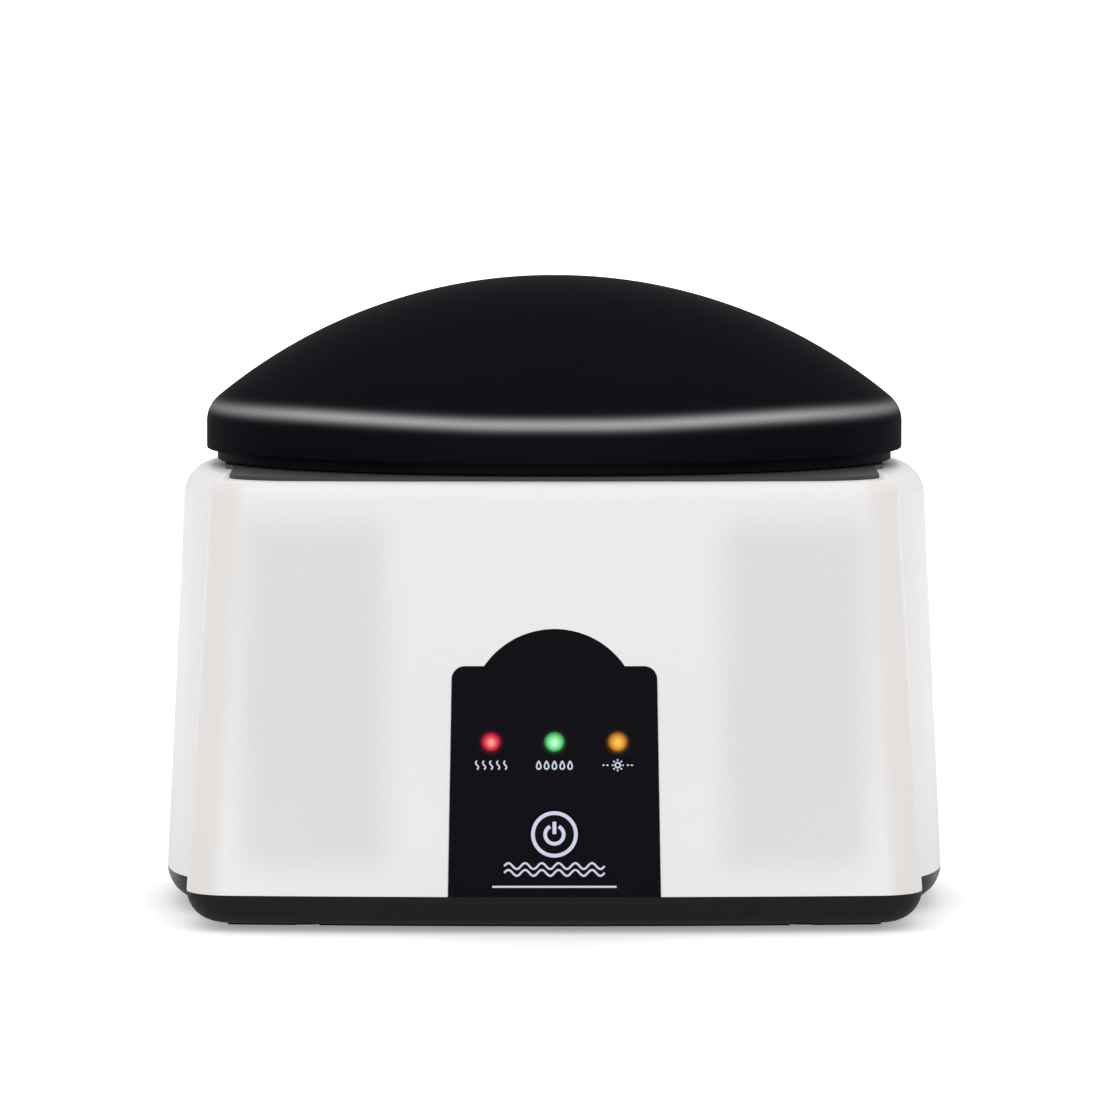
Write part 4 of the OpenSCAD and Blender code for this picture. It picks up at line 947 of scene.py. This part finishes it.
def dome_line(half, top, rise, radius, steps):
    """Rounding and dome from the rim to the top: share of the plan and height. The crown is the radius of
    the dome's own arc."""
    crown = ((half - radius) ** 2 + rise * rise - radius * radius) / (2 * (rise - radius))
    middle = top + rise - crown
    turn = math.atan2(top - middle, half - radius)
    edge_angle = math.asin((half - radius + radius * math.cos(turn)) / crown)
    line = []
    for i in range(9):
        angle = turn * i / 8
        line.append(((half - radius + radius * math.cos(angle)) / half, top + radius * math.sin(angle)))
    for i in range(1, steps + 1):
        angle = edge_angle * (1 - i / steps)
        line.append((crown * math.sin(angle) / half, middle + crown * math.cos(angle)))
    return line


def lid_rings(name, finish, rings, around):
    """Rings that follow the lid's plan. Each is its share of the plan, its inset and its height."""
    return grown(
        RINGS,
        name,
        finish,
        [(share, inset * MM, z * MM) for share, inset, z in rings],
        Around=around,
        Half_width=LID_HALF_W * MM,
        Front=LID_FRONT * MM,
        Rear=LID_REAR * MM,
        Front_squareness=LID_FRONT_SQUARENESS,
        Rear_squareness=LID_REAR_SQUARENESS,
    )


def lid_dome():
    """Dome with its wall, down to a rounded lip under the rim."""
    outer = dome_line(LID_HALF_W, RIM_TOP_Z, DOME_RISE, DOME_ROUNDING, 34)
    inner = dome_line(
        LID_HALF_W - LID_WALL, RIM_TOP_Z, DOME_RISE - LID_WALL, DOME_ROUNDING - LID_WALL, 34
    )
    lip = 0.5
    turns = [(math.cos(math.pi / 8 * k), math.sin(math.pi / 8 * k)) for k in range(5)]
    rings = [(share, LID_WALL, z) for share, z in reversed(inner)]
    rings += [(1, LID_WALL - lip + lip * cosine, RIM_Z + lip - lip * sine) for cosine, sine in turns]
    rings += [(1, lip - lip * sine, RIM_Z + lip - lip * cosine) for cosine, sine in turns]
    rings.append((1, 0, RIM_Z + 3 * lip))
    rings += [(share, 0, z) for share, z in outer]
    return lid_rings("lid_dome_shell", FINISH["lid"], rings, 288)


belongs(lid_dome(), "lid", "black_lid", "lid_dome")


def arc(a, b, radius, first, last, steps):
    """Points of an arc around (a, b), its angles in degrees from the first direction to the second."""
    angles = [math.radians(first + (last - first) * i / steps) for i in range(steps + 1)]
    return [(a + radius * math.cos(angle), b + radius * math.sin(angle)) for angle in angles]


ARM_INNER_Y = 57.2


def hinge_arm(side):
    """Arm from the lid's rim to its knuckle, with the bore for the pin."""
    rim_angle = math.degrees(math.asin((RIM_Z - HINGE_Z) / KNUCKLE_R))
    outline = [(ARM_INNER_Y, RIM_Z), (ARM_INNER_Y, HINGE_Z + KNUCKLE_R)]
    outline += arc(HINGE_Y, HINGE_Z, KNUCKLE_R, 90, -180 - rim_angle, 24)
    low = side * HINGE_X - KNUCKLE_W / 2
    bore = arc(HINGE_Y, HINGE_Z, HINGE_PIN_D / 2 + RUNNING_GAP, 0, 360, 28)[:-1]
    return prism(f"hinge_arm_{side}", FINISH["lid"], outline, [bore], low, low + KNUCKLE_W)


belongs(one_piece("lid_arms", [hinge_arm(-1), hinge_arm(1)]), "lid", "black_lid")


def lid_post(x, y):
    """Post that takes a liner screw, a tube from the liner's plate into the dome."""
    outer, bore, low, top = 3.5, SMALL_SCREW_D / 2 + RUNNING_GAP, LINER_PLATE_Z + 2, 137.0
    profile = [(bore, low), (outer - 0.3, low), (outer, low + 0.3), (outer, top), (bore, top), (bore, low)]
    return lathe(f"lid_post_{x}_{y}", FINISH["liner"], profile, 32, place=(x, y, 0))


belongs(one_piece("lid_posts", [lid_post(x, y) for x, y in LID_SCREW_PLACES]), "lid", "black_lid")


def lid_gasket():
    """Soft ring under the liner with a rounded sealing face and one groove."""
    tall, w = LINER_PLATE_Z - FLANGE_TOP_Z, GASKET_W
    section = [(0.0, tall), (0.0, 0.9), (0.25, 0.35), (0.8, 0.0), (1.45, 0.0), (1.7, 0.45), (2.3, 0.45)]
    section += [(2.55, 0.0), (3.2, 0.0), (3.75, 0.35), (w, 0.9), (w, tall), (0.0, tall)]
    rings = [(1, GASKET_INSET + a, FLANGE_TOP_Z + b) for a, b in section]
    return lid_rings("lid_gasket_ring", FINISH["gasket"], rings, 220)


belongs(lid_gasket(), "lid", "gasket_rubber", "lid_gasket")


def hinge_pin(side):
    length = KNUCKLE_W + 0.6 + 2 * EAR_W
    place = (side * HINGE_X - length / 2, HINGE_Y, HINGE_Z)
    return pin(
        f"hinge_pin_{side}", FINISH["screw"], HINGE_PIN_D / 2, 0, length, (0.4, 0.4), 32, FACING_SIDE, place
    )


belongs(one_piece("hinge_pins_turned", [hinge_pin(-1), hinge_pin(1)]), "housing", "screw_steel", "hinge_pins")

# ---- Lamps and button ----


def lamp(index, colour):
    """Round lens with a domed front and a flange behind it."""
    r = LAMP_D / 2
    tip = -FRONT_Y + LAMP_PROUD
    flange = -LAMP_FLANGE_Y
    profile = [(0, flange - 1), (r + 0.4, flange - 1), (r + 0.4, flange), (r, flange)]
    profile += arc(0, tip - r, r, 0, 90, 12)
    place = (LAMP_X[index], 0, LAMP_Z)
    return lathe(f"lamp_dome_{index}", FINISH[colour], profile, 64, FACING_FRONT, place)


LAMPS = (("heat_lamp", "red"), ("steam_lamp", "green"), ("warm_lamp", "amber"))
for index, (node, colour) in enumerate(LAMPS):
    belongs(lamp(index, colour), "housing", colour + "_lens", node)

LEG_SPREAD = 1.27
leg_lines = [
    [(x + leg, LAMP_FLANGE_Y + 0.9, LAMP_Z), (x + leg, BOARD_FRONT_Y, LAMP_Z)]
    for x in LAMP_X
    for leg in (-LEG_SPREAD, LEG_SPREAD)
]
belongs(bars("lamp_legs", FINISH["screw"], leg_lines, 0.3, 8), "housing", "screw_steel")


def power_button():
    """Round cap with an eased edge, its flange behind the plate and the stem that meets the switch."""
    face, flange, end = -FRONT_Y + BUTTON_PROUD, -BUTTON_FLANGE_Y, -STEM_END_Y
    r, rim = BUTTON_D / 2, BUTTON_D / 2 + 1.3
    stem = [(0, end, 0), (2, end, 0.2), (2, flange - 1, 0.2), (rim, flange - 1, 0.15)]
    cap = [(rim, flange, 0.15), (r, flange, 0.1), (r, face, 0.3), (0, face, 0)]
    profile = rounded(stem + cap)
    return lathe("power_button_cap", FINISH["button"], profile, 96, FACING_FRONT, (0, 0, BUTTON_Z))


belongs(power_button(), "button", "black_button", "power_button")
plunger = pin(
    "plunger_pin",
    FINISH["dark"],
    1.75,
    -PLUNGER_END_Y,
    -STEM_END_Y,
    (0.2, 0.2),
    32,
    FACING_FRONT,
    (0, 0, BUTTON_Z),
)
belongs(plunger, "button", "dark_plastic", "switch_plunger")

# ---- Print on the plate and the button: signs only, no words ----


def wave(x, z, height, swing):
    """A rising wavy stroke, for warmth."""
    return [(x + swing * math.sin(2 * math.pi * i / 20), z + height * (i / 20 - 0.5)) for i in range(21)]


def ripple(z, width, height, turns):
    """A flowing line from side to side."""
    shares = [i / (16 * turns) for i in range(16 * turns + 1)]
    return [(width * (t - 0.5), z + height / 2 * math.sin(2 * math.pi * turns * t)) for t in shares]


def printed(name, strokes, plane, width, closed=()):
    routes = [[(x, plane, z) for x, z in stroke] for stroke in strokes]
    return bars(name, FINISH["print"], routes, width / 2, 10, plane, 0.07, closed)


button_signs = printed(
    "power_sign",
    [
        arc(0, BUTTON_Z, 5.35, 0, 360, 72)[:-1],
        arc(0, BUTTON_Z - 0.05, 2.3, 118, 422, 40),
        [(0, BUTTON_Z + 0.1), (0, BUTTON_Z + 3.2)],
    ],
    FRONT_Y - BUTTON_PROUD,
    0.98,
    closed=(0,),
)
belongs(button_signs, "button", "black_button")

SIGN_Z = 42.6


def drop(x, z, size):
    """Outline of a drop, for steam."""
    points = []
    for i in range(24):
        angle = 2 * math.pi * i / 24
        across = size * 0.62 * math.sin(angle) * math.sin(angle / 2)
        points.append((x + across, z + size * 0.9 * math.cos(angle)))
    return points


heat_waves = [wave(LAMP_X[0] + 1.75 * k, SIGN_Z, 2.2, 0.34) for k in range(-2, 3)]
steam_drops = [drop(LAMP_X[1] + 1.95 * k, SIGN_Z, 1.1) for k in range(-2, 3)]
warm_ring = arc(LAMP_X[2], SIGN_Z, 0.62, 0, 345, 23)
warm_rays = list(zip(*(arc(LAMP_X[2], SIGN_Z, radius, 0, 315, 7) for radius in (1.05, 1.5))))
warm_dashes = [
    [(LAMP_X[2] + side * (start + k), SIGN_Z) for start in (2.3, 2.8)] for side in (-1, 1) for k in (0, 1)
]
lamp_signs = printed(
    "lamp_signs",
    [warm_ring, *steam_drops, *heat_waves, *warm_rays, *warm_dashes],
    FRONT_Y,
    0.4,
    closed=range(6),
)
belongs(lamp_signs, "housing", "black_plate")

plate_lines = printed(
    "plate_lines",
    [*(ripple(z, 25, 1.5, 6) for z in (15.6, 17.3)), [(-15.5, 12.1), (15.5, 12.1)]],
    FRONT_Y,
    0.55,
)
belongs(plate_lines, "housing", "black_plate")

# ---- Screws ----


BASE_SCREW = (5.51, 2, 2.9, 1.1)
SMALL_SCREW = (4.18, SMALL_HEAD_H, SMALL_SCREW_D, 0.8)


def screws(stem, kind, length, places, body="housing", turn=(0.0, 0.0, 0.0)):
    """Equal screws at their places. Their kind is the head's width and height, the thread and its pitch."""
    head, head_h, thread, pitch = kind
    made = grown(
        SCREW,
        stem + "_set",
        FINISH["screw"],
        [at(*p) for p in places],
        Head=head * MM,
        Head_height=head_h * MM,
        Thread=thread * MM,
        Length=length * MM,
        Pitch=pitch * MM,
        Turn=turn,
    )
    smooth_walls(made.data, 40)
    belongs(made, body, "screw_steel", stem + "s")


base_places = [(side * x, y, 5) for x, y in ((74, -30), (72, 34), (62, -62)) for side in (-1, 1)]
tub_places = [(side * x, y, 115.3) for x, y in ((76.8, -8), (16, 50), (16, -53)) for side in (-1, 1)]
clamp_places = [(a, b, CLAMP_Z - SMALL_HEAD_H) for a, b in arc(0, 0, CLAMP_SCREW_R, 90, 330, 2)]
board_places = [(x, BOARD_BACK_Y + SMALL_HEAD_H, z) for x in (-22.5, 22.5) for z in (17.5, 66.5)]
lid_places = [(x, y, LINER_PLATE_Z - SMALL_HEAD_H) for x, y in LID_SCREW_PLACES]
screws("base_screw", BASE_SCREW, 23, base_places)
screws("tub_screw", SMALL_SCREW, 6, tub_places, turn=UPSIDE_DOWN)
screws("clamp_screw", SMALL_SCREW, 7, clamp_places)
screws("board_screw", SMALL_SCREW, 6.6, board_places, turn=FACING_FRONT)
screws("lid_screw", SMALL_SCREW, 9, lid_places, "lid")

# ---- Dish, heater and feet ----


def remover_dish():
    """Spun dish: rolled flange, rounded inner corner, one closed surface."""
    r, wall, low, top = DISH_R, DISH_WALL, DISH_BOTTOM_Z, DISH_FLANGE_Z + DISH_WALL
    outside = [(0, low, 0), (r + wall, low, 4), (r + wall, DISH_FLANGE_Z, 0.3)]
    flange = [(DISH_FLANGE_R, DISH_FLANGE_Z, 0.5), (DISH_FLANGE_R, top, 0.5)]
    inside = [(r, top, 0.8), (r, low + wall, 2.8), (0, low + wall, 0)]
    return lathe("remover_dish_spun", FINISH["dish"], rounded(outside + flange + inside), 160)


belongs(remover_dish(), "housing", "dish_aluminium", "remover_dish")


def dish_seal():
    low, high, inner, outer = TUB_FLOOR_Z, TUB_FLOOR_Z + 1, DISH_R + DISH_WALL + 0.3, DISH_FLANGE_R
    start, ease = (inner + 1, low, 0), 0.3
    corners = [(outer, low, ease), (outer, high, ease), (inner, high, ease), (inner, low, ease)]
    return lathe("dish_seal_ring", FINISH["seal"], rounded([start, *corners, start]), 128)


belongs(dish_seal(), "housing", "red_silicone", "dish_seal")

for node, made, finish, finish_slot, low, high, ease in (
    ("heater_disc", "cast", "dish", "dish_aluminium", HEATER_Z, DISH_BOTTOM_Z, 0.4),
    ("mica_sheet", "cut", "mica", "mica", MICA_Z, HEATER_Z, 0.1),
):
    plate = pin(f"{node}_{made}", FINISH[finish], HEATER_R, low, high, (ease, ease), 96)
    belongs(plate, "housing", finish_slot, node)


def foot(x, y):
    """Rubber foot with a rounded tread edge and two shallow rings under it."""
    r = 6.0
    profile = [(0, 0.25), (1.6, 0.25), (1.8, 0.0), (3.0, 0.0), (3.2, 0.25), (3.8, 0.25), (4.0, 0.0)]
    profile += [(5.3, 0.0), (5.7, 0.15), (5.92, 0.45), (r, 0.8), (r, 2.0), (0, 2.0)]
    return lathe(f"foot_{x}_{y}", FINISH["foot"], profile, 48, place=(x, y, 0))


feet = [foot(side * x, y) for x, y in ((66, -50), (58, 44)) for side in (-1, 1)]
belongs(one_piece("rubber_feet_set", feet), "housing", "foot_rubber", "rubber_feet")

# ---- Small parts ----


def capacitor():
    """Sleeved can on the board, with a groove near its foot."""
    r, foot_h, top = 4, -BOARD_BACK_Y, -BOARD_BACK_Y - 10
    groove = [(r, foot_h - 0.8, 0.2), (r - 0.2, foot_h - 1.1, 0.2), (r, foot_h - 1.4, 0.2)]
    profile = rounded([(0, foot_h, 0), (r, foot_h, 0.4), *groove, (r, top, 0.5), (0, top, 0)])
    return lathe("capacitor_can", FINISH["sleeve"], profile, 48, FACING_FRONT, (15, 0, 38))


belongs(capacitor(), "housing", "capacitor_sleeve", "smoothing_capacitor")


def thermal_fuse():
    """Small round body with a thin lead at each end."""
    half = [(0, 8.5, 0), (0.5, 8.5, 0.1), (0.5, 5.5, 0.1), (2, 5.5, 0.5)]
    profile = rounded([(r, -along, ease) for r, along, ease in half] + half[::-1])
    return lathe("thermal_fuse_body", FINISH["steel"], profile, 40, FACING_SIDE, (0, 8, FUSE_Z))


belongs(thermal_fuse(), "housing", "fuse_body", "thermal_fuse")

SENSOR_FOOT_Z = CLAMP_Z - 6
sensor = pin(
    "sensor_bead", FINISH["dark"], 2.2, SENSOR_FOOT_Z, CLAMP_Z, (0.9, 0.2), 36, place=(12, -8, 0)
)
belongs(sensor, "housing", "dark_plastic", "temperature_sensor")

center_pin = pin(
    "inlet_pin_turned",
    FINISH["screw"],
    1.05,
    -INLET_PIN_TIP_Y,
    -INLET_PIN_ROOT_Y,
    (0.4, 0.05),
    32,
    FACING_FRONT,
    (0, 0, INLET_Z),
)
belongs(center_pin, "housing", "screw_steel", "inlet_center_pin")

# ---- Leads, along the same routes as the solids ----


def between(a, b, c, d, t):
    """Point on the smooth curve from b to c, its neighbours a and d giving the bend."""
    bend, twist = 2 * a - 5 * b + 4 * c - d, 3 * b - a - 3 * c + d
    return 0.5 * (2 * b + (c - a) * t + bend * t * t + twist * t * t * t)


def smooth_route(route, steps=10):
    points = [Vector(p) for p in route]
    last = len(points) - 1
    line = []
    for i in range(last):
        around = (points[max(0, i - 1)], points[i], points[i + 1], points[min(last, i + 2)])
        line += [between(*around, k / steps) for k in range(steps)]
    return [*line, points[last]]


power_routes = [
    [
        (side * 2.2, INLET_BACK_Y, INLET_Z),
        (side * 2.2, INLET_BACK_Y - 6, INLET_Z - 1),
        (side * 2 - 5, 42, 11),
        (side * 2 - 11, 26, 7),
        (side * 2 - 15, 0, 6.5),
        (side * 2 - 15, -28, 7),
        (side * 2 - 15, -44, 13),
        (side * 2 - 15, PLUG_Y + 6, CONNECTOR_Z - 1),
        (side * 2 - CONNECTOR_PITCH, PLUG_Y, CONNECTOR_Z),
    ]
    for side in (-1, 1)
]
heater_routes = [
    [
        (-3, -24, 38.6),
        (-3, -29, 38.2),
        (-2.5, -38, 32),
        (-2, -45, 25),
        (-2, PLUG_Y + 5, CONNECTOR_Z + 1),
        (-2, PLUG_Y, CONNECTOR_Z),
    ],
    [
        (-8.5, 8, FUSE_Z),
        (-12.5, 7, FUSE_Z - 2),
        (-12, -12, 24),
        (-6, -30, 16),
        (0, -43, 16),
        (2, PLUG_Y + 5, CONNECTOR_Z - 1),
        (2, PLUG_Y, CONNECTOR_Z),
    ],
]
sensor_routes = [
    [
        (12 - side * 1.1, -8, SENSOR_FOOT_Z),
        (14 - side * 1.4, -11, SENSOR_FOOT_Z - 5),
        (16 - side * 1.4, -24, SENSOR_FOOT_Z - 12),
        (15 - side * 1.4, -40, 18),
        (15 - side * 1.4, PLUG_Y + 6, CONNECTOR_Z - 1),
        (CONNECTOR_PITCH - side * 1.4, PLUG_Y, CONNECTOR_Z),
    ]
    for side in (-1, 1)
]
for name, routes, finish, finish_slot, radius in (
    ("power_leads", power_routes, "red wire", "red_wire", 0.9),
    ("heater_leads", heater_routes, "white wire", "white_wire", 0.9),
    ("sensor_leads", sensor_routes, "black wire", "black_wire", 0.54),
):
    leads = bars(name + "_run", FINISH[finish], [smooth_route(r) for r in routes], radius, 14)
    belongs(leads, "housing", finish_slot, name)

# ---- Floor, background and light ----


def seen_ray(tree):
    """1 for rays from the camera, from gloss and through glass, 0 for what lights the object."""
    rays = tree.nodes.new("ShaderNodeLightPath")
    seen = rule(tree, "MAXIMUM", rays.outputs["Is Camera Ray"], rays.outputs["Is Glossy Ray"])
    return rule(tree, "MAXIMUM", seen, rays.outputs["Is Transmission Ray"])


def floor():
    """Pale floor that keeps the soft shadow and fades into the background."""
    mesh = bpy.data.meshes.new("floor")
    half = 12
    corners = [(-half, -half, 0), (half, -half, 0), (half, half, 0), (-half, half, 0)]
    mesh.from_pydata(corners, [], [(0, 1, 2, 3)])
    material = bpy.data.materials.new("pale_floor")
    material.use_nodes = True
    tree = material.node_tree
    shader = tree.nodes["Principled BSDF"]
    shader.inputs["Base Color"].default_value = (0.9, 0.9, 0.9, 1)
    shader.inputs["Roughness"].default_value = 0.9
    shader.inputs["Specular IOR Level"].default_value = 0.0
    x, y, _ = parts_of(tree, tree.nodes.new("ShaderNodeTexCoord").outputs["Object"])
    away = reach(x, y).rise(0.12, 0.7)
    shader.inputs["Emission Color"].default_value = (1, 1, 1, 1)
    feed(tree, shader.inputs["Emission Strength"], seen_ray(tree) * (0.3 + 0.7 * away))
    mesh.materials.append(material)
    ground = stand("floor", mesh)


def sky():
    """White to the eye, in gloss and through glass; a plain level of light on the object."""
    world = bpy.data.worlds.new("studio")
    world.use_nodes = True
    tree = world.node_tree
    background = tree.nodes["Background"]
    background.inputs["Color"].default_value = (1, 1, 1, 1)
    feed(tree, background.inputs["Strength"], 0.84 + seen_ray(tree) * 0.16)
    scene.world = world


def softbox(name, place, width, height, power):
    """A soft lamp that looks at the middle of the machine."""
    light = bpy.data.lights.new(name, "AREA")
    light.shape, light.size, light.size_y, light.energy = "RECTANGLE", width, height, power
    box = stand(name, light)
    box.location = place
    box.rotation_euler = (at(0, 0, 80) - Vector(place)).to_track_quat("-Z", "Y").to_euler()


floor()
sky()
softbox("softbox_top", (0.0, -0.3, 1.9), 1.8, 1.8, 5)
softbox("softbox_front", (0.0, -2.3, 0.9), 2.2, 1.2, 7)
softbox("softbox_rear", (0.0, 2.2, 1.2), 2.0, 1.0, 4)

scene.view_settings.view_transform = "Standard"
